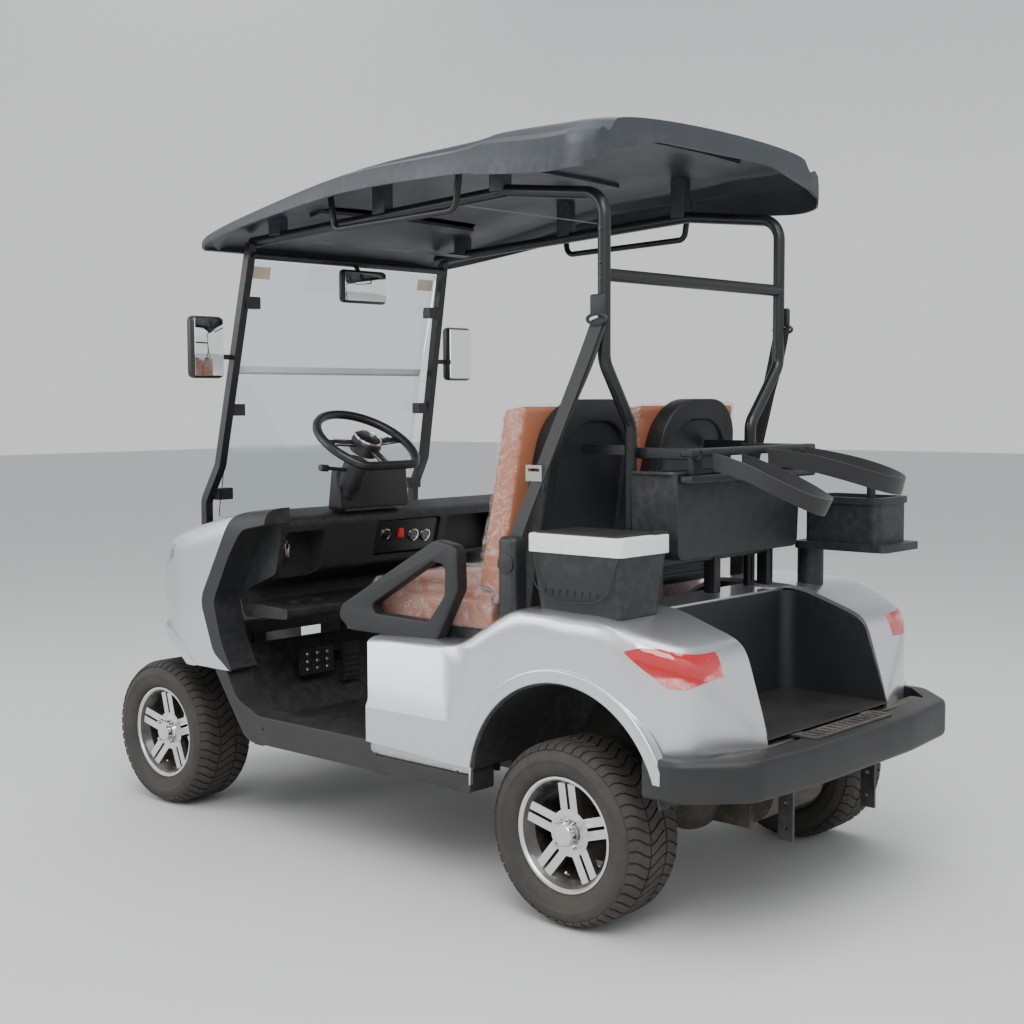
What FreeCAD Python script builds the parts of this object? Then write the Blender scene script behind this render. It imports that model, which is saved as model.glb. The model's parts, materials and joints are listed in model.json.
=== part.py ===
import FreeCAD, Part
import math
import os
import re
from FreeCAD import Vector

# Golf cart. Millimetres, Z up, front towards -Y, the cart's left side towards +X.
# The origin is on the ground at the middle of the overall box.
# Places along the cart are written from the rear axle and moved by rearAxleY.

doc = FreeCAD.newDocument("GolfCart")
sheet = doc.addObject("Spreadsheet::Sheet", "Sizes")

sizeTable = [
    # name, value, what it is
    ("rearAxleY", 726, "rear axle from the middle of the overall length"),
    ("wheelbase", 1680, "front axle to rear axle"),
    ("tyreRadius", 226.5, "tyre tread radius"),
    ("tyreWidth", 205, "tyre section width"),
    ("treadWidth", 150, "flat tread width"),
    ("rimRadius", 141, "rim flange radius"),
    ("rimWidth", 165, "rim over its flanges"),
    ("rimWall", 5, "rim wall"),
    ("hubRadius", 30, "wheel centre cap radius"),
    ("spokeWidth", 22, "one bar of a twin spoke"),
    ("rearTrackHalf", 498, "rear tyre middle from the centre plane"),
    ("frontTrackHalf", 455, "front tyre middle from the centre plane"),
    ("kingpinX", 340, "steering axis from the centre plane"),
    ("steerArm", 120, "tie rod end behind the kingpin"),
    ("frameHalf", 165, "frame rail from the centre plane"),
    ("railWidth", 50, "frame rail width"),
    ("railHeight", 70, "frame rail height"),
    ("kickUp", 159, "rise of the rails over the rear axle"),
    ("bodyHalf", 595, "half width of the body panels"),
    ("panelWall", 6, "body panel thickness"),
    ("floorZ", 315, "floor top above ground"),
    ("floorWall", 12, "floor thickness"),
    ("sillTop", 360, "sill top above ground"),
    ("sillBottom", 278, "sill bottom above ground"),
    ("rearArchRadius", 295, "rear wheel arch radius"),
    ("rearArchZ", 300, "rear wheel arch centre above ground"),
    ("archLip", 35, "wheel arch lip width"),
    ("frontArchRadius", 325, "front wheel arch radius"),
    ("wellHalf", 290, "bag well half width inside"),
    ("wellFloorZ", 470, "bag well floor above ground"),
    ("seatHalf", 470, "seat half width"),
    ("seatTopZ", 800, "seat cushion crest above ground"),
    ("seatThick", 125, "seat cushion thickness"),
    ("backTopZ", 1255, "seat back top above ground"),
    ("postSize", 32, "square roof post"),
    ("barRadius", 16, "round cross bar radius"),
    ("roofWall", 10, "roof skin thickness"),
    ("steeringRadius", 170, "steering wheel outer radius"),
    ("gripRadius", 13, "steering wheel grip radius"),
    ("coolerWall", 8, "cooler box wall"),
    ("hitchHole", 5.5, "bolt hole radius in the hitch brackets"),
    ("gap", 0.3, "running gap between seated pieces"),
]
for rowNumber, (alias, value, note) in enumerate(sizeTable, start=1):
    sheet.set(f"A{rowNumber}", note)
    sheet.set(f"B{rowNumber}", str(value))
    sheet.setAlias(f"B{rowNumber}", alias)
doc.recompute()
aliases = {alias for alias, value, note in sizeTable}
size = {alias: float(sheet.get(alias)) for alias in aliases}
rearY = size["rearAxleY"]
frontY = rearY - size["wheelbase"]
axleZ = size["tyreRadius"]
floorTop = size["floorZ"]
floorLow = floorTop - size["floorWall"]
nodes = []


def bound(text):
    """Write a formula of sheet names as an expression on the sheet."""
    return re.sub(r"[A-Za-z]\w*", lambda m: "Sizes." + m.group(0) if m.group(0) in aliases else m.group(0), text)


def node(item, label):
    """Count an object as a sub-part of that name."""
    item.Label = label
    nodes.append(item)
    return item


def primitive(kind, name, base=("0", "0", "0"), turn=None, **formulas):
    """A Part primitive whose sizes and place are bound to the sheet."""
    item = doc.addObject("Part::" + kind, name)
    if turn:
        item.Placement.Rotation = FreeCAD.Rotation(Vector(*turn[0]), turn[1])
    for key, formula in formulas.items():
        item.setExpression(key, bound(formula))
    for axis, formula in zip("xyz", base):
        item.setExpression("Placement.Base." + axis, bound(formula))
    return item


def feature(label, shape):
    """A sub-part whose shape is made by Part functions."""
    item = doc.addObject("Part::Feature", label)
    item.Shape = shape
    return node(item, label)


def joined(shapes):
    """Fuse a list of solids and clean the seams."""
    return shapes[0].multiFuse(shapes[1:]).removeSplitter() if len(shapes) > 1 else shapes[0]


def both(shape):
    """A shape and its mirror image across the centre plane."""
    return shape, shape.mirror(Vector(0, 0, 0), Vector(1, 0, 0))


def pair(shape):
    """The left and right copies as one compound."""
    return Part.makeCompound(list(both(shape)))


def boxAt(xs, ys, zs):
    """A block between two corners, its Y measured from the rear axle."""
    low = Vector(min(xs), rearY + min(ys), min(zs))
    return Part.makeBox(abs(xs[1] - xs[0]), abs(ys[1] - ys[0]), abs(zs[1] - zs[0]), low)


def rod(start, end, radius):
    """A round bar between two points, their Y from the rear axle."""
    a = Vector(start[0], rearY + start[1], start[2])
    b = Vector(end[0], rearY + end[1], end[2])
    return Part.makeCylinder(radius, (b - a).Length, a, b - a)


def sideProfile(points, xs):
    """A side view outline in (y, z), pushed across from xs[0] to xs[1]."""
    ring = [Vector(xs[0], rearY + y, z) for y, z in points]
    return Part.Face(Part.makePolygon(ring + ring[:1])).extrude(Vector(xs[1] - xs[0], 0, 0))


def planProfile(points, zs):
    """A plan outline in (x, y), pushed up from zs[0] to zs[1]."""
    ring = [Vector(x, rearY + y, zs[0]) for x, y in points]
    return Part.Face(Part.makePolygon(ring + ring[:1])).extrude(Vector(0, 0, zs[1] - zs[0]))


def frontProfile(points, ys):
    """A front view outline in (x, z), pushed back from ys[0] to ys[1]."""
    ring = [Vector(x, rearY + ys[0], z) for x, z in points]
    return Part.Face(Part.makePolygon(ring + ring[:1])).extrude(Vector(0, ys[1] - ys[0], 0))


def bentPath(points, bend):
    """Straight runs joined by tangent arcs of the bend radius."""
    corners = [Vector(x, rearY + y, z) for x, y, z in points]
    edges = []
    start = corners[0]
    for before, corner, after in zip(corners, corners[1:], corners[2:]):
        inward = (before - corner).normalize()
        onward = (after - corner).normalize()
        half = inward.getAngle(onward) / 2
        reach = bend / math.tan(half)
        first = corner + inward * reach
        last = corner + onward * reach
        middle = corner + (inward + onward).normalize() * (bend / math.sin(half) - bend)
        edges.append(Part.LineSegment(start, first).toShape())
        edges.append(Part.Arc(first, middle, last).toShape())
        start = last
    edges.append(Part.LineSegment(start, corners[-1]).toShape())
    return Part.Wire(edges)


def bentTube(points, radius, bend, square=False):
    """A tube, round or square, along a bent path."""
    path = bentPath(points, bend)
    start = Vector(points[0][0], rearY + points[0][1], points[0][2])
    heading = Vector(*[b - a for a, b in zip(points[0], points[1])]).normalize()
    if square:
        side = heading.cross(Vector(1, 0, 0)).normalize() * radius
        out = heading.cross(side).normalize() * radius
        ring = [start + side + out, start + side - out, start - side - out, start - side + out]
        section = Part.makePolygon(ring + ring[:1])
    else:
        section = Part.Wire(Part.makeCircle(radius, start, heading))
    return Part.Solid(path.makePipeShell([section], True, False))


# Wheels: tyre and alloy rim, revolved about the axle
def wheelSolids(xMiddle, yAxle, outward):
    """Tyre and rim of one wheel; outward is +1 on the left side."""
    half = size["tyreWidth"] / 2
    tread = size["treadWidth"] / 2
    radius = size["tyreRadius"]
    rimHalf = size["rimWidth"] / 2
    flange = size["rimRadius"]
    seat = flange - 10
    shoulder = radius - 12
    # Tyre section in (axial, radius): bead, sidewall arc, shoulder arc, tread
    start = Vector(-rimHalf + 8, 0, seat)
    pieces = [
        Part.LineSegment(start, Vector(-rimHalf + 8, 0, flange + 2)),
        Part.Arc(Vector(-rimHalf + 8, 0, flange + 2), Vector(-half, 0, (flange + shoulder) / 2), Vector(-half + 10, 0, shoulder)),
        Part.Arc(Vector(-half + 10, 0, shoulder), Vector(-tread - 9, 0, radius - 4), Vector(-tread, 0, radius)),
        Part.LineSegment(Vector(-tread, 0, radius), Vector(tread, 0, radius)),
        Part.Arc(Vector(tread, 0, radius), Vector(tread + 9, 0, radius - 4), Vector(half - 10, 0, shoulder)),
        Part.Arc(Vector(half - 10, 0, shoulder), Vector(half, 0, (flange + shoulder) / 2), Vector(rimHalf - 8, 0, flange + 2)),
        Part.LineSegment(Vector(rimHalf - 8, 0, flange + 2), Vector(rimHalf - 8, 0, seat)),
        Part.LineSegment(Vector(rimHalf - 8, 0, seat), start),
    ]
    tyre = Part.Face(Part.Wire([piece.toShape() for piece in pieces])).revolve(Vector(0, 0, 0), Vector(1, 0, 0), 360)
    # Rim barrel with its two flanges, then the recessed spoke disc
    wall = size["rimWall"]
    gap = size["gap"]
    barrel = [
        (-rimHalf, flange), (-rimHalf, flange - 22), (-rimHalf + 20, flange - 28), (rimHalf - 30, flange - 28),
        (rimHalf - 12, flange - 16), (rimHalf, flange - 6), (rimHalf, flange), (rimHalf - 7, flange),
        (rimHalf - 7, seat - gap), (-rimHalf + 7, seat - gap), (-rimHalf + 7, flange),
    ]
    ring = [Vector(a, 0, r) for a, r in barrel]
    rim = Part.Face(Part.makePolygon(ring + ring[:1])).revolve(Vector(0, 0, 0), Vector(1, 0, 0), 360)
    face = rimHalf - 40
    disc = Part.makeCylinder(58, 18, Vector(face - 4, 0, 0), Vector(1, 0, 0))
    cap = Part.makeCone(size["hubRadius"], size["hubRadius"] - 4, 14, Vector(face + 14, 0, 0), Vector(1, 0, 0))
    spokes = []
    width = size["spokeWidth"]
    for number in range(5):
        for side in (-1, 1):
            outline = [(face - 6, 40), (face + 12, 40), (rimHalf - 14, flange - 18), (rimHalf - 32, flange - 20)]
            ring = [Vector(a, side * 15 - width / 2, r) for a, r in outline]
            bar = Part.Face(Part.makePolygon(ring + ring[:1])).extrude(Vector(0, width, 0))
            bar.rotate(Vector(0, 0, 0), Vector(1, 0, 0), 72 * number)
            spokes.append(bar)
    rim = joined([rim, disc, cap] + spokes)
    # Hub face that seats on the axle's flange
    bore = Part.makeCylinder(20, 60, Vector(face - 30, 0, 0), Vector(1, 0, 0))
    rim = rim.cut(bore.common(Part.makeCylinder(20, 10, Vector(face - 4, 0, 0), Vector(1, 0, 0))))
    result = []
    for solid in (tyre, rim):
        if outward < 0:
            solid = solid.mirror(Vector(0, 0, 0), Vector(1, 0, 0))
        solid.translate(Vector(outward * xMiddle, yAxle, axleZ))
        result.append(solid)
    return result


wheelTable = [
    # name, side, track, axle Y
    ("front_left", 1, size["frontTrackHalf"], frontY),
    ("front_right", -1, size["frontTrackHalf"], frontY),
    ("rear_left", 1, size["rearTrackHalf"], rearY),
    ("rear_right", -1, size["rearTrackHalf"], rearY),
]
for name, side, track, yAxle in wheelTable:
    tyre, rim = wheelSolids(track, yAxle, side)
    feature("tyre_" + name, tyre)
    feature("rim_" + name, rim)

# Frame: two rails that rise over the rear axle, and their cross members
half = size["frameHalf"]
railZ = size["floorZ"] - size["floorWall"] - size["gap"] - size["railHeight"] / 2
highZ = railZ + size["kickUp"]
railShapes = []
for side in (-1, 1):
    x = side * half
    rail = sideProfile([
        (-1884.7, railZ - 35), (-290, railZ - 35), (-190, highZ - 35), (400, highZ - 35),
        (400, highZ + 35), (-210, highZ + 35), (-310, railZ + 35), (-1884.7, railZ + 35),
    ], (x - size["railWidth"] / 2, x + size["railWidth"] / 2))
    railShapes.append(rail)
crossTable = [
    # y, half length, z
    (-1880, half, railZ), (-1250, 500, railZ), (-720, 500, railZ), (-330, 360, railZ), (-32, 290, highZ),
    (380, 480, highZ),
]
for y, reach, z in crossTable:
    railShapes.append(boxAt((-reach, reach), (y - 20, y + 20), (z - 25, z + 25)))
feature("frame_rails", joined(railShapes))

# Rear axle with its differential, drums and electric motor
axle = Part.makeCylinder(34, 800, Vector(-400, rearY, axleZ), Vector(1, 0, 0))
bulge = Part.makeSphere(95, Vector(60, rearY, axleZ))
motor = Part.makeCylinder(82, 250, Vector(-210, rearY + 165, axleZ + 30), Vector(1, 0, 0))
case = boxAt((20, 60), (0, 190), (axleZ - 60, axleZ + 90))
drumFace = size["rearTrackHalf"] + size["rimWidth"] / 2 - 40 - 4
drums = []
for side in (-1, 1):
    drums.append(Part.makeCylinder(92, 45, Vector(side * 400, rearY, axleZ), Vector(side, 0, 0)))
    drums.append(Part.makeCylinder(40, drumFace - 400 - size["gap"], Vector(side * 400, rearY, axleZ), Vector(side, 0, 0)))
feature("rear_axle", joined([axle, bulge, motor, case] + drums))
feature("battery_pack", boxAt((-400, 400), (-670, -325), (floorTop + size["gap"], 585)))

# Leaf springs clamp over the axle and hang from the frame's cross members
springs = []
for side in (-1, 1):
    x = side * 330
    low = railZ + 25 + size["gap"]
    high = highZ - 25 - size["gap"]
    seat = axleZ + 34 + size["gap"]
    springs.append(sideProfile([
        (-345, low), (-309, low), (-40, seat), (40, seat), (370, high - 14),
        (370, high), (40, seat + 16), (-40, seat + 16), (-309, low + 12), (-345, low + 12),
    ], (x - 25, x + 25)))
feature("rear_springs", Part.makeCompound(springs))

# Front suspension: cross beam with lower arms and shock struts
beam = boxAt((-190, 190), (-1720, -1640), (150, railZ - 35.3))
arms = []
for side in (-1, 1):
    arms.append(boxAt((side * 180, side * 352), (-1700, -1660), (150, axleZ - 60 - size["gap"])))
    arms.append(boxAt((side * 180, side * 352), (-1700, -1660), (axleZ + 80 + size["gap"], 322)))
    arms.append(rod((side * 272, -1680, 160), (side * 205, -1680, 520), 24))
    arms.append(boxAt((side * 140, side * 190), (-1705, -1655), (railZ + 35.3, 520)))
tower = boxAt((-240, 240), (-1705, -1655), (500, 540))
feature("front_suspension", joined([beam, tower] + arms))

# Steering knuckles with kingpin, stub axle and steering arm
kingX = size["kingpinX"]
hubFace = size["frontTrackHalf"] + size["rimWidth"] / 2 - 40 - 4
for name, side in (("left", 1), ("right", -1)):
    upright = Part.makeCylinder(22, 140, Vector(side * (kingX - 10), frontY, axleZ - 60))
    stub = Part.makeCylinder(30, hubFace - kingX + 10 - size["gap"], Vector(side * (kingX - 10), frontY, axleZ), Vector(side, 0, 0))
    arm = boxAt((side * (kingX - 35), side * (kingX - 5)), (-1680, -1680 + size["steerArm"] + 15), (axleZ - 10, axleZ + 8))
    feature("knuckle_" + name, joined([upright, stub, arm]))

# Rack bar with tie rods, under the steering arms
bar = rod((-kingX + 20, -1680 + size["steerArm"], 196), (kingX - 20, -1680 + size["steerArm"], 196), 9)
ends = [Part.makeCylinder(13, 27, Vector(side * (kingX - 20), frontY + size["steerArm"], 187)) for side in (-1, 1)]
feature("tie_rods", joined([bar] + ends))
rack = boxAt((-150, 150), (-1680 + size["steerArm"] - 25, -1680 + size["steerArm"] + 25), (170, railZ - 35.3))
rack = rack.cut(rod((-200, -1680 + size["steerArm"], 196), (200, -1680 + size["steerArm"], 196), 9.5))
feature("steering_rack", rack)

# Floor, toe board and the black sills with their kick-up behind the front wheels
floor = sideProfile([
    (-640, floorTop), (-1270, floorTop), (-1400, 520), (-1412, 520), (-1282, floorLow), (-640, floorLow),
], (-500, 500))
feature("floor_pan", floor)
sill = sideProfile([
    (-1195, 280), (-295, size["sillBottom"]), (-295, 345), (-687, size["sillTop"]), (-1138, size["sillTop"]),
    (-1250, 395), (-1290, 480), (-1341, 477),
], (505, size["bodyHalf"]))
feature("rocker_sills", pair(sill))

# Front cowl: a hollow shell lofted upwards through plan sections
cowlTable = [
    # z, half width, nose y, corner y, corner x share, rear y
    (400, 560, -1905, -1700, 0.62, -1330),
    (560, 582, -1950, -1700, 0.66, -1360),
    (690, 588, -1925, -1640, 0.62, -1380),
    (810, 572, -1740, -1540, 0.60, -1340),
    (860, 555, -1600, -1480, 0.62, -1290),
    (945, 525, -1400, -1360, 0.70, -1150),
]


def cowlLoft(inset, drop):
    """The cowl's outer form, set inwards by a wall."""
    wires = []
    for z, halfWidth, nose, corner, share, rear in cowlTable:
        w = halfWidth - inset
        noseY = rearY + nose + inset
        cornerY = rearY + corner
        rearEdge = rearY + rear + (80 if inset else 0)
        top = z - drop
        noseX = w * share
        noseCornerY = noseY + 35
        left = Vector(w, rearEdge, top)
        leftCorner = Vector(w, cornerY, top)
        leftNose = Vector(noseX, noseCornerY, top)
        mid = Vector(0, noseY, top)
        bulge = Vector(w - (w - noseX) * 0.27, noseCornerY + (cornerY - noseCornerY) * 0.32, top)
        mirrorOf = lambda p: Vector(-p.x, p.y, p.z)
        edges = [
            Part.LineSegment(left, leftCorner).toShape(),
            Part.Arc(leftCorner, bulge, leftNose).toShape(),
            Part.Arc(leftNose, mid, mirrorOf(leftNose)).toShape(),
            Part.Arc(mirrorOf(leftNose), mirrorOf(bulge), mirrorOf(leftCorner)).toShape(),
            Part.LineSegment(mirrorOf(leftCorner), mirrorOf(left)).toShape(),
            Part.LineSegment(mirrorOf(left), left).toShape(),
        ]
        wires.append(Part.Wire(edges))
    return Part.makeLoft(wires, True, True)


cowl = cowlLoft(0, 0).cut(cowlLoft(size["panelWall"], size["panelWall"]))
arch = Part.makeCylinder(size["frontArchRadius"], 1400, Vector(-700, frontY, axleZ), Vector(1, 0, 0))
cowl = cowl.cut(arch).cut(boxAt((-497, 497), (-1530, -900), (600, 1000)))

# Black hoop around the door opening's front edge, carried down to the sill
hoop = sideProfile([
    (-1100, 962), (-1246, 943), (-1320, 840), (-1385, 677), (-1352, 560), (-1300, 484),
    (-1255, 484), (-1305, 570), (-1335, 680), (-1270, 815), (-1195, 900), (-1090, 915),
], (500, 560))
hoops = pair(hoop)
feature("cowl_trim", hoops)
cowl = cowl.cut(hoops)
bumper = planProfile([
    (205, -1905), (160, -1940), (-160, -1940), (-205, -1905), (-205, -1885), (-150, -1915), (150, -1915), (205, -1885),
], (300, 392))
feature("front_bumper", bumper)

# Dash with its shelf and cup holders
dash = sideProfile([
    (-1529.7, 872), (-1200, 950), (-1120, 925), (-1165, 760), (-1290, 705), (-1290, 668), (-1110, 660),
    (-1110, 632), (-1300, 625), (-1330, 690), (-1400, 700),
], (-496.7, 496.7))
cups = [Part.makeCylinder(36, 200, Vector(x, rearY - 1200, 640)) for x in (-400, -310, 310, 400)]
dash = dash.cut(Part.makeCompound([cup.common(boxAt((-495, 495), (-1280, -1115), (640, 700))) for cup in cups]))

# Steering column with its display, and the steering wheel on the same axis
lean = math.radians(58)
columnLow = Vector(250, rearY - 1310, 700)
columnAxis = Vector(0, math.cos(lean), math.sin(lean))
columnLength = 460
columnTop = columnLow + columnAxis * columnLength
column = Part.makeCylinder(24, columnLength - 30, columnLow, columnAxis)
head = Part.makeCylinder(42, 90, columnLow + columnAxis * 330, columnAxis)
stalk = Part.makeCylinder(9, 110, columnLow + columnAxis * 395, Vector(1, 0, 0.1))
display = Part.makeBox(80, 60, 50, Vector(170, rearY - 1150, 990))
columnShape = joined([column, head, stalk, display])
feature("steering_column", columnShape)
feature("dash", dash.cut(cowl).cut(hoops).cut(columnShape))
wheelCentre = columnTop + columnAxis * 6
grip = Part.makeTorus(size["steeringRadius"] - size["gripRadius"], size["gripRadius"], wheelCentre, columnAxis)
boss = Part.makeCylinder(45, 40, columnTop - columnAxis * 29, columnAxis)
across = Vector(1, 0, 0)
upward = columnAxis.cross(across)
spokeBars = []
for angle in (0, 180, 270):
    heading = across * math.cos(math.radians(angle)) - upward * math.sin(math.radians(angle))
    spokeBars.append(Part.makeCylinder(9, size["steeringRadius"] - 15, wheelCentre, heading))
feature("steering_wheel", joined([grip, boss] + spokeBars))

# Pedals hang from the toe board
pedalTable = [
    # x middle, width, low z, high z
    (235, 130, 420, 500), (95, 70, 380, 500),
]
pedals = []
for x, width, low, high in pedalTable:
    plate = boxAt((x - width / 2, x + width / 2), (-1300, -1285), (low, high))
    stem = boxAt((x - 10, x + 10), (-1395, -1299), (440, 465)).cut(floor)
    pedals.append(plate.fuse(max(stem.Solids, key=lambda solid: solid.BoundBox.YMax)).removeSplitter())
feature("pedals", Part.makeCompound(pedals))

# Windshield posts with the bar across their tops, and the two panes
postHalf = size["postSize"] / 2
post = bentTube([(411, -1358, 1740), (440, -1490, 1070), (447, -1552, 960), (447, -1553, 850)], postHalf * 0.8, 40, True)
topBar = rod((-411, -1358, 1705), (411, -1358, 1705), 12)
paneTable = [
    # low z, high z, low y, high y
    (900, 1290, -1560, -1482), (1300, 1690, -1480, -1385),
]
panes = []
posts = joined(list(both(post)) + [topBar])
cowl = cowl.cut(posts)
for lowZ, highZ2, lowY, highY in paneTable:
    panes.append(sideProfile([(lowY, lowZ), (highY, highZ2), (highY + 5, highZ2), (lowY + 5, lowZ)], (-400, 400)))
panes = Part.makeCompound(panes)
feature("windshield", panes)
clampTable = [
    # x, y, z
    (408, -1394, 1564), (420, -1462, 1240), (428, -1520, 980),
]
clamps = []
for x, y, z in clampTable:
    clamps += both(boxAt((x - 45, x + 10), (y - 16, y + 16), (z - 18, z + 18)))
hinge = sideProfile([(-1482, 1290), (-1480, 1300), (-1474, 1300), (-1476, 1290)], (-390, 390))
feature("windshield_hinge", hinge.cut(panes))

# Mirrors
mirror = joined([boxAt((480, 600), (-1440, -1400), (1330, 1520)), rod((435, -1430, 1400), (500, -1420, 1400), 8)])
inner = joined([boxAt((-90, 90), (-1330, -1300), (1570, 1680)), rod((0, -1350, 1700), (0, -1315, 1650), 7)])
mirrorSolids = [max(shape.cut(posts).Solids, key=lambda solid: solid.Volume) for shape in list(both(mirror)) + [inner]]
feature("mirrors", Part.makeCompound(mirrorSolids))

# Roof: a crowned skin lofted along the cart
roofTable = [
    # y, half width, rim z, crown z
    (-1470, 470, 1722, 1742),
    (-1380, 548, 1735, 1790),
    (-1050, 585, 1782, 1865),
    (-600, 592, 1824, 1925),
    (-200, 585, 1813, 1950),
    (0, 560, 1822, 1956),
    (90, 480, 1862, 1935),
]


def roofSection(y, halfWidth, rim, crown, inset):
    """A closed arch section: rim, lip and crown."""
    w = halfWidth - inset
    top = crown - inset
    lip = rim + 32 - inset * 0.6
    base = rim - (20 if inset else 0)
    yy = rearY + y
    a = Vector(w, yy, base)
    b = Vector(w - 6, yy, lip)
    c = Vector(0, yy, top)
    edges = [
        Part.LineSegment(a, b).toShape(),
        Part.Arc(b, c, Vector(-b.x, yy, b.z)).toShape(),
        Part.LineSegment(Vector(-b.x, yy, b.z), Vector(-w, yy, base)).toShape(),
        Part.LineSegment(Vector(-w, yy, base), a).toShape(),
    ]
    return Part.Wire(edges)


def roofLoft(inset):
    """The roof's outer or inner form."""
    rows = [list(row) for row in roofTable]
    if inset:
        rows[0][0] += inset
        rows[-1][0] -= inset
    return Part.makeLoft([roofSection(*row, inset) for row in rows], True, False)


roof = roofLoft(0).cut(roofLoft(size["roofWall"]))
roof = max(roof.Solids, key=lambda solid: solid.Volume)
bosses = []
for y, low in ((-1250, 1749), (-800, 1774), (-360, 1798)):
    bosses += [boxAt((x - 18, x + 18), (y - 25, y + 25), (low, 1960)) for x in (-395, 395)]

# Rear struts with the cross bar; they bend forward under the roof
strut = bentTube([(395, -1372, 1743), (395, -330, 1800), (395, -20, 1765), (395, -20, 1360), (272, -32, 1200), (272, -32, highZ + 25.3)], postHalf, 60)
strutShape = joined(list(both(strut)) + [rod((-395, -20, 1570), (395, -20, 1570), size["barRadius"])])
posts = joined([posts] + clamps).cut(panes).cut(strutShape).cut(hinge)
feature("windshield_posts", max(posts.Solids, key=lambda solid: solid.Volume))
handle = bentTube([(500, -900, 1850), (500, -880, 1735), (500, -420, 1750), (500, -400, 1880)], 9, 25).cut(roof)
feature("roof_handles", pair(max(handle.Solids, key=lambda solid: solid.Volume)))

roofForm = roofLoft(size["roofWall"] / 2)
bosses = [boss.common(roofForm).cut(strutShape) for boss in bosses]
bosses = [max(boss.Solids, key=lambda solid: solid.BoundBox.ZMax) for boss in bosses]
feature("roof", joined([roof] + bosses))

# Rear body: side panel, arch and quarter, one shell each side
quarterTable = [
    # y, side z low, shoulder z, top z, top inner x
    (-679, 361, 600, 637, 484),
    (-305, 346, 620, 665, 484),
    (-125, 346, 690, 757, 300),
    (130, 346, 690, 752, 296),
    (340, 400, 560, 640, 296),
    (410, 460, 480, 520, 296),
]


def quarterLoft(inset):
    """The rear quarter's form; the inner one is set in by the wall."""
    wires = []
    for y, low, shoulder, top, inner in quarterTable:
        taper = 0 if y < 200 else (y - 200) * 0.35
        x = size["bodyHalf"] - inset - taper
        yy = rearY + y
        base = low - (30 if inset else 0)
        ring = [
            Vector(x, yy, base), Vector(x, yy, shoulder - inset), Vector(x - 45, yy, top - 15 - inset),
            Vector(x - 75, yy, top - inset), Vector(inner - (30 if inset else 0), yy, top - inset),
            Vector(inner - (30 if inset else 0), yy, base),
        ]
        wires.append(Part.makePolygon(ring + ring[:1]))
    return Part.makeLoft(wires, True, True)


quarter = quarterLoft(0).cut(quarterLoft(size["panelWall"]))
rearArch = Part.makeCylinder(size["rearArchRadius"], 500, Vector(350, rearY, size["rearArchZ"]), Vector(1, 0, 0))
quarter = quarter.cut(rearArch).cut(sill)

# Arch liners behind the rear wheels
linerOuter = Part.makeCylinder(size["rearArchRadius"] - size["gap"], 228, Vector(357, rearY, size["rearArchZ"]), Vector(1, 0, 0))
linerInner = Part.makeCylinder(size["rearArchRadius"] - 5, 228, Vector(357, rearY, size["rearArchZ"]), Vector(1, 0, 0))
liner = linerOuter.cut(linerInner).cut(boxAt((250, 650), (-400, 400), (0, 340)))

# Bag well: a black tub between the quarters, open above and behind
wellHalf = size["wellHalf"]
wellFloor = size["wellFloorZ"]
well = boxAt((-wellHalf, wellHalf), (-10, 405), (wellFloor - 8, 740))
well = well.cut(boxAt((-wellHalf + 6, wellHalf - 6), (-4, 420), (wellFloor, 760)))
slope = sideProfile([(130, 760), (130, 752), (340, 640), (406, 500), (420, 500), (420, 760)], (-400, 400))
feature("bag_well", well.cut(slope))

# Rear bumper wraps the tail from arch to arch
bumperOuter = [(598, 255), (588, 370), (520, 440), (400, 480), (200, 498)]
outer = bumperOuter + [(-x, y) for x, y in reversed(bumperOuter)]
innerEdge = [(560, 255), (550, 350), (490, 410), (300, 412)]
inner = innerEdge + [(-x, y) for x, y in reversed(innerEdge)]
bumper = planProfile(outer + list(reversed(inner)), (362, 458))
feature("rear_bumper", bumper)
liner = liner.cut(bumper)
feature("arch_liners", pair(max(liner.Solids, key=lambda solid: solid.Volume)))
quarter = quarter.cut(bumper)
hitch = [boxAt((x - 4, x + 4), (365, 405), (205, highZ - 25.3)) for x in (-200, 200)]
hitch.append(boxAt((-200, 200), (375, 395), (330, 350)))
hitch = joined(hitch)
for z in (235, 295):
    hitch = hitch.cut(rod((-300, 385, z), (300, 385, z), size["hitchHole"]))
feature("hitch_brackets", hitch)

# Lamps
tail = planProfile([(400, 345), (560, 250), (575, 262), (410, 372)], (615, 650))
feature("tail_lamps", pair(tail))
quarter = quarter.cut(tail)
feature("rear_body", pair(max(quarter.Solids, key=lambda solid: solid.Volume)))
head = planProfile([(330, -1885), (470, -1770), (500, -1700), (530, -1730), (500, -1800), (350, -1915)], (640, 690))
feature("headlamps", pair(head))
cowl = cowl.cut(pair(head))
feature("front_cowl", max(cowl.Solids, key=lambda solid: solid.Volume))

# Seat base, cushion, backs and their shells
seatHalf = size["seatHalf"]
seatLow = size["seatTopZ"] - size["seatThick"]
base = boxAt((-480, 480), (-700, -301), (floorTop + size["gap"], seatLow - size["gap"]))
base = base.cut(boxAt((-470, 470), (-690, -100), (floorTop - 20, seatLow - 12)))
feature("seat_base", base)
cushion = sideProfile([
    (-790, seatLow + 20), (-800, seatLow + 60), (-760, size["seatTopZ"] - 15), (-620, size["seatTopZ"]),
    (-330, size["seatTopZ"] - 25), (-330, seatLow), (-760, seatLow),
], (-seatHalf, seatHalf))
feature("seat_cushion", cushion)
back = sideProfile([
    (-329.7, 776), (-329.7, 740), (-310, 740), (-215, size["backTopZ"]), (-290, size["backTopZ"] - 10), (-385, 781),
], (20, 470))
feature("seat_backs", pair(back))
shell = sideProfile([(-309.7, 741), (-240, 741), (-160, 1266), (-214.7, 1256)], (50, 350)).cut(back)
feature("seat_back_shells", pair(shell))
brackets = []
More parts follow.
